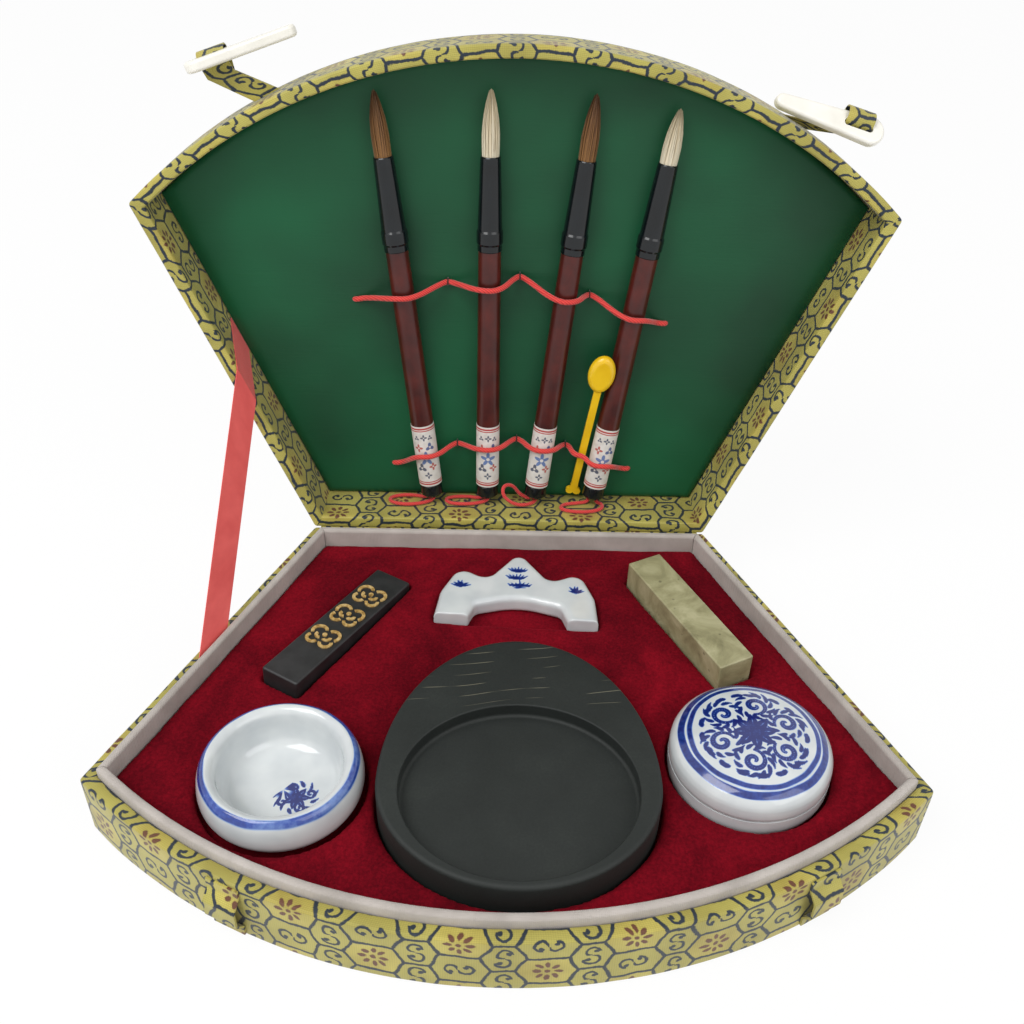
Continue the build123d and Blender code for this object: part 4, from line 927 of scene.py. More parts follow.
# ---------------------------------------------------------------- hinge cloth and closure loops
def band(name, route, half_width, sideways, thickness, shift=(0.0, 0.0), columns=8):
    """A strip along a route of points in millimetres. Sideways gives its width direction at each point."""
    lengths = [0.0]
    for a, b in zip(route, route[1:]):
        lengths.append(lengths[-1] + (b - a).length)
    rows = len(route) - 1

    def corner(column, row):
        """A corner of the strip's net."""
        side = sideways(row / rows) if callable(sideways) else sideways
        width = half_width(row / rows) if callable(half_width) else half_width
        return route[row] + side * (width * (2 * column / columns - 1))

    def cloth(column, row):
        """The same corner on the flat cloth."""
        width = half_width(row / rows) if callable(half_width) else half_width
        return (shift[0] + width * (2 * column / columns - 1), shift[1] + lengths[row])

    piece = net(name, columns, rows, corner, cloth)
    apply_modifier(piece, "SOLIDIFY", thickness=thickness * MM, offset=0.0)
    smooth(piece, 50)
    return piece


CREASE_OUT, CREASE_ROUND = 0.3, 0.3
HINGE_REACH, HINGE_HALF = 13.8, 81.5
hinge_route = rounded_route([
    Vector((0, HINGE.y + CREASE_OUT, BOX_HEIGHT - HINGE_REACH)),
    Vector((0, HINGE.y + CREASE_OUT, BOX_HEIGHT - CREASE_OUT * (1 + sin(LEAN)) / cos(LEAN))),
    HINGE - LID_OUT * HINGE_REACH - LID_UP * CREASE_OUT,
], CREASE_ROUND)
hinge_cloth = band("hinge_strip", evenly(hinge_route, 2.0), HINGE_HALF, ACROSS, CLOTH,
                   shift=(HINGE_HALF, 2.0), columns=24)
finish_piece(hinge_cloth, brocade, None, ["hinge_cloth"])
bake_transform(hinge_cloth)

for side, across in (("left", -89.5), ("right", 101.0)):
    outward = Vector((across, sqrt(ARC_RADIUS**2 - across**2), 0)).normalized()
    out = Vector((outward.x, -outward.y, 0))
    foot = base_point(across, ARC_CENTRE + sqrt(ARC_RADIUS**2 - across**2), 0) + out * 0.05
    course = [(0.4, 1.5), (0.4, 5.5), (3.6, 9.5), (3.6, 16.5), (0.4, 20.5), (0.4, 24.5)]
    route = rounded_route([foot + out * away + Vector((0, 0, height)) for away, height in course], 2.2)
    loop = band(f"loop_{side}", evenly(route, 0.8), 6.0, Vector((0, 0, 1)).cross(out), 0.8,
                shift=(300 + across, 4.0))
    finish_piece(loop, brocade, "base", [f"closure_loop_{side}"])

# ---------------------------------------------------------------- straps of the toggles
EYE_RADIUS = 3.55
STRAPS = {
    "left": dict(root=-92.3, eye=(-110.5, 188.0, -13.0), lie=19.4),
    "right": dict(root=102.0, eye=(124.5, 172.6, -9.0), lie=163.4),
}
for side, strap in STRAPS.items():
    root_x = strap["root"]
    reach = sqrt(ARC_RADIUS**2 - root_x**2)
    outward = Vector((root_x, reach, 0)).normalized()
    root = lid_point(root_x + 0.3 * outward.x, ARC_CENTRE + reach + 0.3 * outward.y, -13.0)
    out_of_wall = lid_vector(outward.x, outward.y)
    tangent = out_of_wall.cross(LID_OUT)
    lie = radians(strap["lie"])
    along = lid_vector(cos(lie), sin(lie))
    eye = lid_point(*strap["eye"])
    reach = root - eye
    inward = (reach - along * reach.dot(along)).normalized()
    sideways = along.cross(inward)
    end_along = along if tangent.dot(along) > 0 else -along
    turns = [radians(a) for a in range(38, 323, 12)]
    ring = [eye + inward * (EYE_RADIUS * cos(t)) + sideways * (EYE_RADIUS * sin(t)) for t in turns]
    thick = out_of_wall.cross(tangent).normalized()
    start_side = thick if sideways.dot(thick) > 0 else -thick
    throat = eye + inward * 6.0
    route = [root + start_side * 0.25, throat + sideways * 0.5, *ring, throat - sideways * 0.5,
             root - start_side * 0.25]
    route = evenly(route, 1.2)
    count = len(route) - 1
    spans = [min(1.0, (point - root).length / ((eye - root).length - 4)) for point in route]

    def strap_side(share, spans=spans, count=count, a=tangent, b=end_along):
        """The strap's width direction, which turns from the wall's to the toggle's."""
        return a.lerp(b, spans[round(share * count)]).normalized()

    piece = band(f"strap_{side}_cloth", route, 5.25, strap_side, 0.5, shift=(200.0, 9.0))
    finish_piece(piece, brocade, f"strap_{side}", [f"strap_{side}"])

# ---------------------------------------------------------------- ribbon stay
RIBBON_INSET = 5.225
RIBBON_HALF = 6.0
BASE_RUN, RIM_RUN, PANEL_RUN = 77.5, 66.0, 79.0
RIBBON_LIFT, BASE_TAIL = 0.25, 8.0
RIBBON_COLUMNS = 10
down_base = Vector((-SIDE_ALONG[0], -SIDE_ALONG[1], 0))
down_lid = lid_vector(-SIDE_ALONG[0], SIDE_ALONG[1])
ribbon_base = base_point(-side_place(BASE_RUN, RIBBON_INSET), BASE_RUN, BOX_HEIGHT)
ribbon_fold = lid_point(-side_place(RIM_RUN, RIBBON_INSET), RIM_RUN, RIBBON_LIFT)
ribbon_panel = lid_point(-side_place(PANEL_RUN, RIBBON_INSET), PANEL_RUN, PAD_FRONT)
course = (ribbon_base - ribbon_fold).normalized()
half_base = RIBBON_HALF / sin(course.angle(down_base))
half_fold = RIBBON_HALF / sin(course.angle(down_lid))
stations = [(ribbon_panel - LID_OUT, down_lid, half_fold), (ribbon_panel, down_lid, half_fold),
            (ribbon_fold, down_lid, half_fold), (ribbon_base, down_base, half_base),
            (ribbon_base - Vector((0, 0, BASE_TAIL)), down_base, half_base)]


def ribbon_piece(name, stations, body):
    """A stretch of the ribbon as a net through its stations, each a place, a direction and half a width."""
    rows = []
    for (a, side_a, half_a), (b, side_b, half_b) in zip(stations, stations[1:]):
        steps = max(1, round((b - a).length / 2.0))
        for step in range(steps):
            share = step / steps
            rows.append((a.lerp(b, share),
                         side_a.lerp(side_b, share) * (half_a + (half_b - half_a) * share)))
    rows.append((stations[-1][0], stations[-1][1] * stations[-1][2]))
    lengths = [0.0]
    for (a, _), (b, _) in zip(rows, rows[1:]):
        lengths.append(lengths[-1] + (b - a).length)
    piece = net(
        name, RIBBON_COLUMNS, len(rows) - 1,
        lambda column, row: rows[row][0] + rows[row][1] * (2 * column / RIBBON_COLUMNS - 1),
        lambda column, row: (RIBBON_HALF * (2 * column / RIBBON_COLUMNS - 1), lengths[row]),
    )
    apply_modifier(piece, "SOLIDIFY", thickness=0.3 * MM, offset=0.0)
    smooth(piece, 50)
    finish_piece(piece, red_ribbon, body, ["ribbon_stay"])
    return piece


# The end glued in the lid goes with the lid, and the free stretch goes with the base.
ribbon_piece("stay_ribbon_lid_end", stations[:3], "lid")
free_ribbon = ribbon_piece("stay_ribbon", stations[2:], "base")
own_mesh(free_ribbon)

# ---------------------------------------------------------------- velvet tray
TRAY_CELL, REST_CELL = 1.3, 0.4
velvet_tray = copy_of("velvet_insert", "velvet_tray")
apply_modifier(velvet_tray, "REMESH", mode="VOXEL", voxel_size=TRAY_CELL * MM)
apply_modifier(velvet_tray, "SMOOTH", factor=0.5, iterations=2)
wander(velvet_tray, 0.35, 22.0)
wander(velvet_tray, 0.15, 6.0, 3.0)
smooth(velvet_tray)
finish_piece(velvet_tray, velvet, "base", ["velvet_insert"])

# ---------------------------------------------------------------- porcelain
VELVET_TOP = BOX_HEIGHT - 3.0
DISH_TALL, DISH_ABOVE_VELVET = 20.0, 12.0
PASTE_TALL, PASTE_ABOVE_VELVET = 26.8, 16.0
DISH_PLACE, DISH_LOW = (-77.3, 136.0), VELVET_TOP + DISH_ABOVE_VELVET - DISH_TALL
PASTE_PLACE, PASTE_LOW = (83.8, 124.0), VELVET_TOP + PASTE_ABOVE_VELVET - PASTE_TALL
REST_PLACE, REST_TURN = (3.4, 40.0), -3.2
LID_SEAM = 13.8
PAINTED_SLOPE = 0.25


def flowing(knots, spacing):
    """Closely spaced points of a smooth curve through (radius, height) knots."""
    knots = [Vector((*knot, 0.0)) for knot in knots]
    out = [knots[0]]
    for index, (a, b) in enumerate(zip(knots, knots[1:])):
        before = knots[index - 1] if index else a * 2 - b
        after = knots[index + 2] if index + 2 < len(knots) else b * 2 - a
        reach = (b - a).length
        left, right = (b - before).normalized() * (reach / 3), (after - a).normalized() * (reach / 3)
        out += interpolate_bezier(a, a + left, b - right, b, max(2, round(reach / spacing)) + 1)[1:]
    return [(point.x, point.y) for point in out]


def turned(name, profile, place, low, sides=320):
    """A closed turned piece. Its profile starts and ends on the axis and holds (radius, height)."""
    rings = profile[1:-1]
    corners = [base_point(place[0], place[1], low + profile[0][1]) * MM]
    for radius, height in rings:
        for side in range(sides):
            turn = 2 * pi * side / sides
            corners.append(base_point(place[0] + radius * cos(turn), place[1] - radius * sin(turn),
                                      low + height) * MM)
    corners.append(base_point(place[0], place[1], low + profile[-1][1]) * MM)
    faces = []
    for side in range(sides):
        beside = (side + 1) % sides
        faces.append((0, 1 + beside, 1 + side))
        for ring in range(len(rings) - 1):
            first = 1 + ring * sides
            faces.append((first + side, first + beside, first + sides + beside, first + sides + side))
        first = 1 + (len(rings) - 1) * sides
        faces.append((first + side, first + beside, len(corners) - 1))
    piece = mesh_piece(name, corners, faces)
    smooth(piece)
    return piece


def leaf(x, y, bearing, length, wide, bend=0.0):
    """Dots (x, y, radius) of one brush stroke: pressed down, then drawn out to a point."""
    dots, count = [], max(6, round(length / 0.16))
    for step in range(count + 1):
        share = step / count
        dots.append((x, y, wide * (0.35 + 2.6 * share * (1 - share) ** 1.2) * (1 - 0.75 * share) + 0.1))
        x += cos(bearing + bend * share) * length / count
        y += sin(bearing + bend * share) * length / count
    return dots


def curl(x, y, size, start, hand, turns=1.3, wide=0.13):
    """Dots of a scroll that winds into its middle."""
    dots, count = [], round(size * 30)
    for step in range(count + 1):
        share = step / count
        turn, reach = start + hand * share * turns * 2 * pi, size * (1 - 0.86 * share)
        dots.append((x + reach * cos(turn), y + reach * sin(turn),
                     size * wide * (0.55 + 0.6 * sin(pi * share))))
    return dots


def blossom(x, y, size, petals, start=0.0):
    """Dots of a flower with a heart, and of the light veins in its petals."""
    dark, light = [(x, y, size * 0.24)], []
    for petal in range(petals):
        turn = start + 2 * pi * petal / petals
        away = Vector((cos(turn), sin(turn))) * (size * 0.34)
        dark += leaf(x + away.x, y + away.y, turn, size * 0.72, size * 0.36, 0.15)
        light += [(x + away.x * k, y + away.y * k, 0.13) for k in (1.5, 1.65, 1.8, 1.95, 2.1, 2.25)]
    return dark, light


def scroll_field(reach, size, draws):
    """A round field of scrolling vine: a blossom in the middle, scrolls about it, leaves elsewhere."""
    dark, light = blossom(0.0, 0.0, size * 1.45, 8)
    for number in range(6):
        turn, hand = number * pi / 3 + 0.35, 1 if number % 2 else -1
        x, y = reach * 0.6 * cos(turn), reach * 0.6 * sin(turn)
        dark += curl(x, y, size * 0.86, turn + pi, hand, wide=0.2)
        veins = curl(x, y, size * 0.86, turn + pi, hand)[3::5]
        light += [(dot_x, dot_y, 0.15) for dot_x, dot_y, _ in veins]
        for shoot in range(11):
            way = turn + shoot * 2 * pi / 11 + 0.2
            dark += leaf(x + size * cos(way), y + size * sin(way), way + hand * 0.9,
                         size * draws.uniform(0.6, 0.95), size * 0.2, hand * 0.9)
    for number in range(34):
        turn, hand = number * 2 * pi / 34, 1 if number % 2 else -1
        dark += leaf(reach * 0.86 * cos(turn), reach * 0.86 * sin(turn), turn + 1.25 * hand,
                     size * draws.uniform(0.5, 0.8), size * 0.24, 0.6 * hand)
    return [dot for dot in dark if hypot(dot[0], dot[1]) < reach - dot[2]], light


def shrub(x, y, size, draws, leaves=6):
    """Dots of a small bush: leaves that fan out upwards from one foot."""
    dark = [(x, y, size * 0.2)]
    for number in range(leaves):
        way = radians(12 + 156 * number / (leaves - 1))
        dark += leaf(x, y, way, size * draws.uniform(0.75, 1.0), size * 0.2, draws.uniform(-0.4, 0.4))
    return dark


def tier(x, y, wide, draws):
    """Dots of one layer of a tree's crown: overlapping dabs with a ragged upper edge."""
    dark = []
    for number in range(7):
        share = number / 3 - 1
        dark.append((x + share * wide, y + 0.3 * draws.random(), 1.15 - 0.5 * abs(share)))
        dark += leaf(x + share * wide, y, radians(90 - 50 * share), 1.6 + draws.random(), 0.42)
    return dark


def paint(piece, place, turn, dark, light=(), bands=(), low=0.0, soft=0.2):
    """Paint a piece in cobalt from above, with dark dots and light ones inside them.

    A band holds its inner and outer radius, its strength, the height it lies above, and its unevenness.
    """
    mesh = piece.data
    count = len(mesh.vertices)
    points, normals = numpy.empty(count * 3), numpy.empty(count * 3)
    mesh.vertices.foreach_get("co", points)
    mesh.vertices.foreach_get("normal", normals)
    points, normals = points.reshape(-1, 3) / MM, normals.reshape(-1, 3)
    away_x, away_y = points[:, 0] - place[0], points[:, 1] - (HINGE.y - place[1])
    x = away_x * cos(turn) + away_y * sin(turn)
    y = away_y * cos(turn) - away_x * sin(turn)
    upward = normals[:, 2] > PAINTED_SLOPE
    near_x, near_y = x[upward], y[upward]
    value = numpy.zeros(len(near_x))
    for dot_x, dot_y, radius in dark:
        value = numpy.maximum(value, (radius - numpy.hypot(near_x - dot_x, near_y - dot_y)) / soft + 0.5)
    value = numpy.clip(value, 0.0, 1.0)
    for dot_x, dot_y, radius in light:
        cover = numpy.clip((radius - numpy.hypot(near_x - dot_x, near_y - dot_y)) / soft + 0.5, 0.0, 1.0)
        value = numpy.minimum(value, 1.0 - 0.75 * cover)
    cobalt = numpy.zeros(count)
    cobalt[upward] = value
    radius, bearing = numpy.hypot(x, y), numpy.arctan2(y, x)
    for inner, outer, strength, above, uneven in bands:
        waver = 0.12 * numpy.sin(5 * bearing + inner) + 0.07 * numpy.sin(13 * bearing)
        edge = numpy.minimum(radius - inner - waver, outer + 0.6 * waver - radius)
        cover = numpy.clip(edge / (1.5 * soft) + 0.5, 0.0, 1.0)
        cover = numpy.where(points[:, 2] > low + above, cover, 0.0)
        pooling = 0.5 + 0.3 * numpy.sin(bearing + 2.2) + 0.2 * numpy.sin(7 * bearing + inner)
        wash = strength * (1 - uneven * pooling)
        cobalt = numpy.maximum(cobalt, cover * wash)
    add_attribute(piece, "cobalt", cobalt)


draws = random.Random(11)
dish_profile = [(0.0, 1.0), (8.0, 1.0), (16.8, 1.0), (17.3, 0.2), (18.0, 0.0), (18.8, 0.05)]
dish_profile += flowing([(19.2, 0.35), (22.4, 2.4), (25.8, 5.0), (27.8, 8.2), (28.2, 11.0), (27.9, 14.2),
                         (27.2, 17.0), (26.2, 19.0), (24.8, 19.95), (23.2, 19.6), (22.0, 18.4),
                         (21.5, 16.6), (21.3, 13.5), (20.8, 10.2), (19.8, 7.6), (17.6, 5.6), (14.0, 4.6),
                         (9.0, 4.4), (4.0, 4.4)], 0.34)
dish_profile += [(2.0, 4.4), (0.0, 4.4)]
dish = turned("glazed_dish", dish_profile, DISH_PLACE, DISH_LOW)
dish_dark, dish_light = blossom(5.0, -3.4, 4.4, 7)
for number in range(4):
    way = 0.4 + number * pi / 2
    dish_dark += curl(5.0 + 5.0 * cos(way), -3.4 + 4.6 * sin(way), 2.1, way + pi, 1, wide=0.24)
    for shoot in range(4):
        turn = way + shoot * 0.5 - 0.7
        dish_dark += leaf(5.0 + 5.6 * cos(turn), -3.4 + 5.0 * sin(turn), turn + 0.5,
                          draws.uniform(2.0, 3.4), 0.62, 0.7)
paint(dish, DISH_PLACE, 0.0, dish_dark, dish_light, bands=[(24.9, 26.95, 0.95, 17.2, 0.5)], low=DISH_LOW)
finish_piece(dish, porcelain, "water_dish", ["water_dish"])

lid_knots = [(28.2, LID_SEAM + 3.2), (27.9, 18.9), (26.9, 20.9), (25.0, 22.8), (22.5, 24.1), (18.0, 25.3),
             (12.0, 26.2), (6.0, 26.7), (1.2, PASTE_TALL)]
cap_profile = [(0.0, 23.6), (10.0, 23.2), (19.0, 21.4), (24.0, 18.6), (25.0, 17.4), (26.65, 16.1),
               (26.65, LID_SEAM + 0.1), (26.8, LID_SEAM), (27.9, LID_SEAM), (28.15, LID_SEAM + 0.25),
               (28.2, LID_SEAM + 1.6)]
cap_profile += flowing(lid_knots, 0.3) + [(0.0, PASTE_TALL)]
cap = turned("glazed_box_lid", cap_profile, PASTE_PLACE, PASTE_LOW)
cap_dark, cap_light = scroll_field(20.7, 5.0, draws)
paint(cap, PASTE_PLACE, 0.0, cap_dark, cap_light,
      bands=[(23.5, 25.7, 0.95, 19.0, 0.12), (21.2, 22.8, 0.95, 19.0, 0.15)], low=PASTE_LOW)
finish_piece(cap, porcelain, "paste_box_lid", ["paste_box_lid"])

rest = copy_of("brush_rest", "glazed_rest")
apply_modifier(rest, "REMESH", mode="VOXEL", voxel_size=REST_CELL * MM)
apply_modifier(rest, "SMOOTH", factor=0.5, iterations=4)
smooth(rest)
rest_dark = shrub(-23.4, 0.6, 4.4, draws) + shrub(23.6, 0.2, 4.0, draws)
for x, y, wide in ((0.6, 2.6, 3.6), (-0.9, 7.2, 2.6), (-0.4, 11.6, 2.4)):
    rest_dark += tier(x, y, wide, draws)
rest_dark += leaf(0.9, 1.4, radians(95), 6.0, 0.4) + leaf(-1.4, 1.2, radians(5), 4.6, 0.5)
paint(rest, REST_PLACE, radians(REST_TURN), rest_dark)
finish_piece(rest, porcelain, "brush_rest", ["brush_rest"])

# ---------------------------------------------------------------- green panel
PAD_COLUMNS, PAD_ROWS = 120, 96
PAD_LONG, PAD_THICK = 180, 0.9
PAD_FULLNESS, PAD_FULLEST = 0.12, 0.2
EDGE_DROP, EDGE_WIDTH = 1.2, 3.0
TACK_DIMPLE, DIMPLE_WIDTH = 0.7, 3.0
WRINKLE, WRINKLE_ACROSS, WRINKLE_ALONG = 0.16, 26, 30
TACKS = [(-27.0, 104.0), (2.0, 106.8), (30.4, 99.8), (-23.2, 31.6), (2.4, 34.2), (23.6, 31.8)]
(pad_back_x, pad_back_run), (pad_front_x, _) = fan_corners(PANEL_INSET)


def pad_place(column, row):
    """The panel's corners: straight sides, a curved far edge, its middle a little fuller than its edges."""
    s, t = 2 * column / PAD_COLUMNS - 1, row / PAD_ROWS
    s, t = sin(s * pi / 2) * 0.35 + s * 0.65, (1 - cos(t * pi)) / 2 * 0.35 + t * 0.65
    across = s * (pad_back_x + (pad_front_x - pad_back_x) * t)
    far = ARC_CENTRE + sqrt((ARC_RADIUS - PANEL_INSET) ** 2 - (s * pad_front_x) ** 2)
    run = pad_back_run + (far - pad_back_run) * t
    edge = min((1 - abs(s)) * pad_back_x, t * PAD_LONG, (1 - t) * PAD_LONG)
    height = PAD_FRONT + PAD_FULLNESS
    height -= EDGE_DROP * max(0.0, 1 - edge / EDGE_WIDTH) ** 2
    for tack_x, tack_run in TACKS:
        away = hypot(across - tack_x, run - tack_run)
        height -= TACK_DIMPLE / (1 + (away / DIMPLE_WIDTH) ** 2)
    height += WRINKLE * noise.noise(Vector((across / WRINKLE_ACROSS, run / WRINKLE_ALONG, 1.7)))
    return lid_point(across, run, min(height, PAD_FRONT + PAD_FULLEST))


satin_panel = net("satin_panel", PAD_COLUMNS, PAD_ROWS, pad_place)
edit_all(satin_panel, lambda: bpy.ops.mesh.extrude_region_move(
    TRANSFORM_OT_translate={"value": LID_OUT * (-PAD_THICK * MM)}))
face_outwards(satin_panel)
for vertex in satin_panel.data.vertices:
    depth = (vertex.co / MM - HINGE).dot(LID_OUT)
    if depth < CARD_FRONT:
        vertex.co += LID_OUT * ((CARD_FRONT - depth) * MM)
smooth(satin_panel, 60)
finish_piece(satin_panel, green_satin, "lid", ["lid_green_pad"])


# ---------------------------------------------------------------- brushes
def brush_frame(number):
    """Foot of a brush's axis, its sideways direction, its own direction and the way out of the lid."""
    across, lean, _ = BRUSHES[number]
    turn = radians(lean)
    foot = lid_point(across, FOOT_RUN, BRUSH_AXIS)
    return foot, lid_vector(cos(turn), -sin(turn)), lid_vector(sin(turn), cos(turn))


def brush_across(number, run):
    """How far across the lid a brush's axis lies at a run."""
    return BRUSHES[number][0] + (run - FOOT_RUN) * tan(radians(BRUSHES[number][1]))


CORD_WIDE = 1.6
HANGING_CORDS = {
    1: [
        (1.1, 1.5, 0.0), (1.1, -2.2, 0.3), (-4.0, -2.3, 4.2), (-11.0, -2.3, 5.6), (-17.0, -2.3, 4.4),
        (-19.4, -2.3, 0.6), (-15.5, -2.3, -2.6), (-8.5, -2.3, -3.2), (-1.1, -2.2, -0.6), (-1.1, 1.5, 0.0),
    ],
    2: [
        (1.1, 1.5, 0.0), (1.1, -2.2, 0.3), (-4.5, -2.3, 3.6), (-11.2, -2.3, 4.6), (-16.7, -2.3, 3.6),
        (-18.7, -2.3, 0.2), (-15.0, -2.3, -2.2), (-8.5, -2.3, -2.6), (-1.1, -2.2, -0.6), (-1.1, 1.5, 0.0),
    ],
    3: [
        (1.1, 1.5, 0.0), (1.1, -2.2, 0.4), (-3.6, -2.3, 4.6), (-9.5, -1.2, 5.8), (-14.2, 2.6, 5.2),
        (-14.0, 6.6, 3.0), (-9.8, 5.6, 0.4), (-6.6, 0.2, -0.6), (-1.1, -2.3, -0.6), (-1.1, 1.5, 0.0),
    ],
    4: [
        (-1.1, 1.5, 0.0), (-1.1, -2.2, 0.4), (-6.6, -2.3, 1.8), (-13.0, -2.3, 3.2), (-14.6, -2.3, 7.4),
        (-8.4, -2.3, 9.8), (-1.0, -2.3, 9.4), (4.2, -2.3, 6.6), (4.4, -2.3, 2.2), (1.1, -2.2, 0.2),
        (1.1, 1.5, 0.0),
    ],
}
for number, points in HANGING_CORDS.items():
    foot = Vector((BRUSHES[number][0], FOOT_RUN, BRUSH_AXIS))
    route = [lid_point(*(foot + Vector(point))) for point in points]
    cord = tube(f"hanging_cord_{number}", route, CORD_WIDE)
    finish_piece(cord, red_cord, f"brush_{number}", [f"brush_{number}_hanging_loop"])

LABEL_RADIUS, LABEL_FROM, LABEL_LONG = 4.95, 6.4, 28.6
LABEL_COLUMNS, LABEL_ROWS = 48, 24
HAIR_RINGS, HAIR_STEPS, HAIRS_PER_RING = 9, 7, 5.6
TUFT_RADIUS, TUFT_START, TUFT_IN_FERRULE = 3.3, 143.5, 3.0
HAIR_HALF = 0.24
HAIR_CORNERS = 4
LONGEST_HAIR = 0.96


def tuft_width(share):
    """How wide a tuft is along its length, as a share of its width at the ferrule."""
    knots = [(0.0, 0.97), (0.2, 1.04), (0.4, 1.06), (0.58, 0.93), (0.75, 0.66), (0.9, 0.34), (1.0, 0.1)]
    for (a, wide_a), (b, wide_b) in zip(knots, knots[1:]):
        if share <= b:
            step = (share - a) / (b - a)
            return wide_a + (wide_b - wide_a) * (3 - 2 * step) * step * step
    return knots[-1][1]


def make_tuft(number):
    """A tuft of a few hundred hairs, each four-sided and drawn to a point, gathered into one tip."""
    foot, sideways, ahead_way = brush_frame(number)
    length = BRUSHES[number][2] + TUFT_IN_FERRULE
    draws = random.Random(number)
    corners, faces, shades = [], [], []
    for ring in range(HAIR_RINGS + 1):
        count = max(1, round(HAIRS_PER_RING * ring))
        for index in range(count):
            bearing = 2 * pi * (index + 0.5 * draws.random()) / count + ring
            radius = (TUFT_RADIUS - 0.2) * ring / HAIR_RINGS
            end = LONGEST_HAIR - 0.16 * (ring / HAIR_RINGS) * draws.random() - 0.02 * ring / HAIR_RINGS
            shade = draws.random()
            first = len(corners)
            drift = draws.uniform(-0.1, 0.1)
            for step in range(HAIR_STEPS + 1):
                share = end * step / HAIR_STEPS
                thick = HAIR_HALF * (1 - 0.8 * (step / HAIR_STEPS) ** 3)
                out_way = tuft_width(share) * radius
                turn = bearing + drift * share * 3
                middle = sideways * (out_way * cos(turn)) + LID_OUT * (out_way * sin(turn))
                centre = foot + ahead_way * (TUFT_START + share * length) + middle
                for side in range(HAIR_CORNERS):
                    angle = turn + pi / 4 + side * pi / 2
                    corners.append((centre + (sideways * cos(angle) + LID_OUT * sin(angle)) * thick) * MM)
                    shades.append(min(1.0, shade * 0.45 + 0.55 * (1 - share)))
            for step in range(HAIR_STEPS):
                for side in range(HAIR_CORNERS):
                    a = first + step * HAIR_CORNERS + side
                    b = first + step * HAIR_CORNERS + (side + 1) % HAIR_CORNERS
                    faces.append((a, b, b + HAIR_CORNERS, a + HAIR_CORNERS))
            last = first + HAIR_STEPS * HAIR_CORNERS
            faces.append((first + 3, first + 2, first + 1, first))
            faces.append((last, last + 1, last + 2, last + 3))
    piece = mesh_piece(f"tuft_{number}", corners, faces)
    add_attribute(piece, "strand", shades)
    return piece


for number in BRUSHES:
    foot, sideways, ahead_way = brush_frame(number)
    tuft = make_tuft(number)
    hair, hair_slot = (brown_hair, "brown_hair") if number in (1, 3) else (cream_hair, "cream_hair")
    finish_piece(tuft, hair, f"brush_{number}", [f"brush_{number}_tuft"])

    def label_corner(column, row, foot=foot, sideways=sideways, ahead_way=ahead_way):
        """A corner of the label round its handle. The seam lies behind."""
        turn = 2 * pi * column / LABEL_COLUMNS + pi
        away = (LID_OUT * cos(turn) + sideways * sin(turn)) * LABEL_RADIUS
        return foot + ahead_way * (LABEL_FROM + LABEL_LONG * row / LABEL_ROWS) + away

    def label_print_place(column, row):
        """The same corner on the flat print."""
        return (LABEL_RADIUS * (2 * pi * column / LABEL_COLUMNS - pi), LABEL_LONG * row / LABEL_ROWS)

    label = net(f"label_{number}", LABEL_COLUMNS, LABEL_ROWS, label_corner, label_print_place)
    merge_doubles(label)
    turn_outwards(label, foot + ahead_way * 20)
    apply_modifier(label, "SOLIDIFY", thickness=0.12 * MM, offset=-1.0)
    smooth(label, 50)
    finish_piece(label, label_print, f"brush_{number}", [f"brush_{number}_label"])

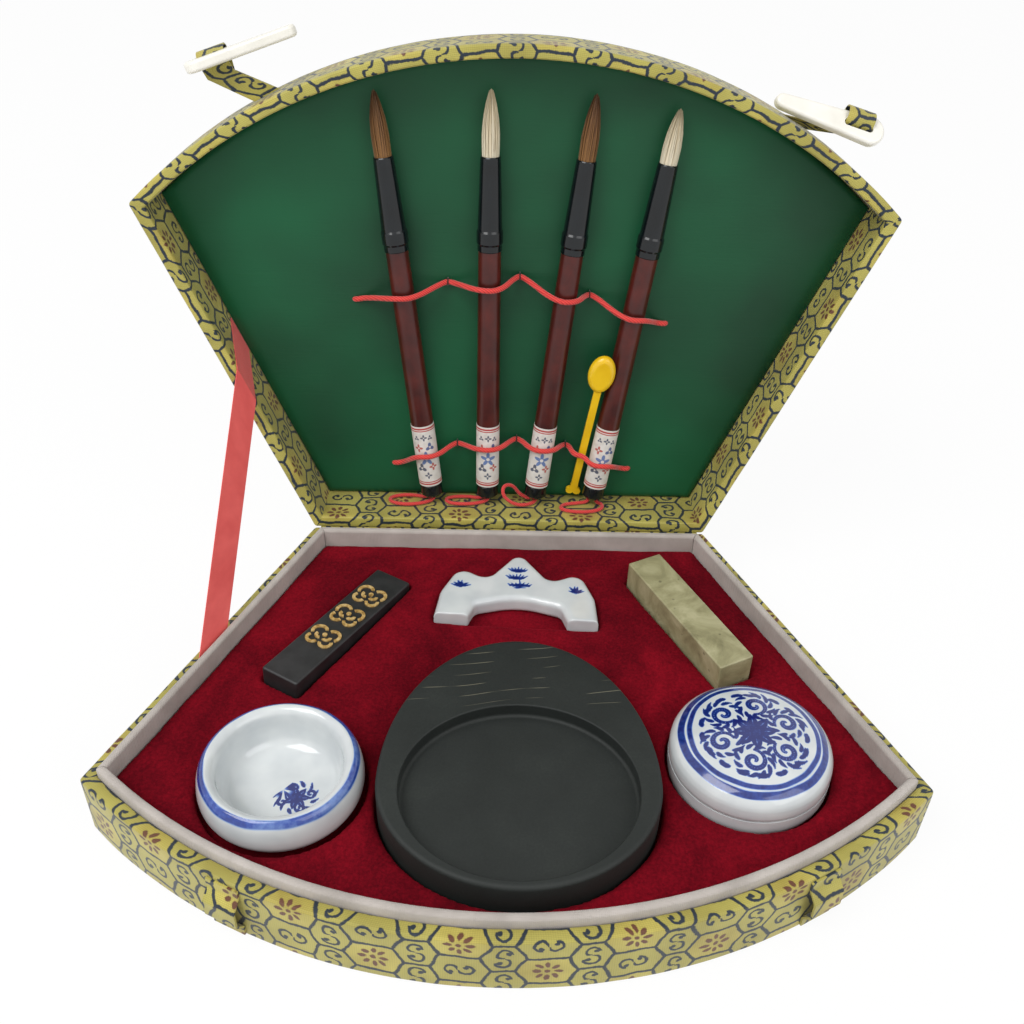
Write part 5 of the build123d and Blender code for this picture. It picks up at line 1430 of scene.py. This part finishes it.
# ---------------------------------------------------------------- elastics over the brushes
ELASTIC_WIDE = 2.2
CROWN_HALF, CROWN_HEIGHT = 4.3, BRUSH_AXIS + 6.75
TACK_HALF, END_DEPTH = 1.4, 1.6
OVER_SPOON = [(27.0, 30.5, -13.2), (31.4, 29.9, -13.0)]
ELASTICS = {"upper": dict(crowns=[100.5, 104.5, 100.5, 93.5], tacks=TACKS[:3],
                          ends=[(-65.0, 95.5), (62.6, 87.8)]),
            "lower": dict(crowns=[30.4, 34.2, 34.2, 27.4], tacks=TACKS[3:],
                          ends=[(-51.0, 21.0), (52.0, 20.2)])}
for name, elastic in ELASTICS.items():
    first, last = elastic["ends"]
    route = [(*first, ELASTIC_REST - END_DEPTH), (first[0] + 0.4, first[1] + 0.2, ELASTIC_REST),
             (first[0] + 5.0, first[1] + 1.2, ELASTIC_REST)]
    for number in BRUSHES:
        run = elastic["crowns"][number - 1]
        across = brush_across(number, run)
        route += [(across + side, run - 0.3, CROWN_HEIGHT) for side in (-CROWN_HALF, CROWN_HALF)]
        if number < 4:
            tack_x, tack_run = elastic["tacks"][number - 1]
            route += [(tack_x + side, tack_run, ELASTIC_REST) for side in (-TACK_HALF, TACK_HALF)]
        if name == "lower" and number == 3:
            route += OVER_SPOON
    route += [(last[0] - 5.0, last[1] + 0.8, ELASTIC_REST), (last[0] - 0.4, last[1] + 0.1, ELASTIC_REST),
              (*last, ELASTIC_REST - END_DEPTH)]
    piece = tube(f"elastic_{name}_cord", [lid_point(*point) for point in route], ELASTIC_WIDE,
                 resolution=10)
    finish_piece(piece, red_elastic, "lid", [f"elastic_{name}"])


# ---------------------------------------------------------------- stage and light
def backdrop_rays(add):
    """1 for rays that show the white backdrop: the camera's, mirrored ones and those passing through."""
    path = add("LightPath")
    seen = add("Math MAXIMUM", (path.outputs["Is Camera Ray"], path.outputs["Is Transmission Ray"]))
    return add("Math MAXIMUM", (seen, path.outputs["Is Glossy Ray"]))


SKY_LIGHT = 0.5
FLOOR_WHITE = 0.93
deselect()
bpy.ops.mesh.primitive_plane_add(size=6.0, location=(0, 0, 0))
floor = bpy.context.object
floor.name = "floor"
floor_paint, add_to_floor, floor_shader = start_material("white studio floor", color="#fbfbfb",
                                                         roughness=0.9)
floor.data.materials.append(floor_paint)

world = bpy.data.worlds.new("studio")
bpy.context.scene.world = world
world.use_nodes = True
add_to_sky = partial(add_node, world.node_tree)
sky = world.node_tree.nodes["Background"]
sky.inputs["Color"].default_value = linear("#ffffff")
feed(sky, "Strength", add_to_sky("Mix", (backdrop_rays(add_to_sky), None, SKY_LIGHT, 1.0)).outputs[0])
# The floor looks all but white to the camera, and keeps a trace of the box's shadow.
white = add_to_floor("Emission", {"Color": linear("#ffffff"), "Strength": 1.0})
share = add_to_floor("Math MULTIPLY", (backdrop_rays(add_to_floor), FLOOR_WHITE))
mixed = add_to_floor("MixShader", (share, floor_shader, white))
feed(floor_paint.node_tree.nodes["Material Output"], "Surface", mixed.outputs[0])


def soft_lamp(name, place, target, size, power):
    """A soft square lamp that looks at a point, both in metres."""
    data = bpy.data.lights.new(name, "AREA")
    data.shape = "SQUARE"
    data.size = size
    data.energy = power
    lamp = bpy.data.objects.new(name, data)
    bpy.context.scene.collection.objects.link(lamp)
    way = Vector(target) - Vector(place)
    lamp.matrix_world = Matrix.Translation(place) @ way.to_track_quat("-Z", "Y").to_matrix().to_4x4()


soft_lamp("key", (-0.7, -0.5, 1.3), (0, 0, 0.08), 0.9, 14.0)
soft_lamp("fill", (0.9, -0.8, 0.9), (0, 0, 0.08), 1.0, 6.0)
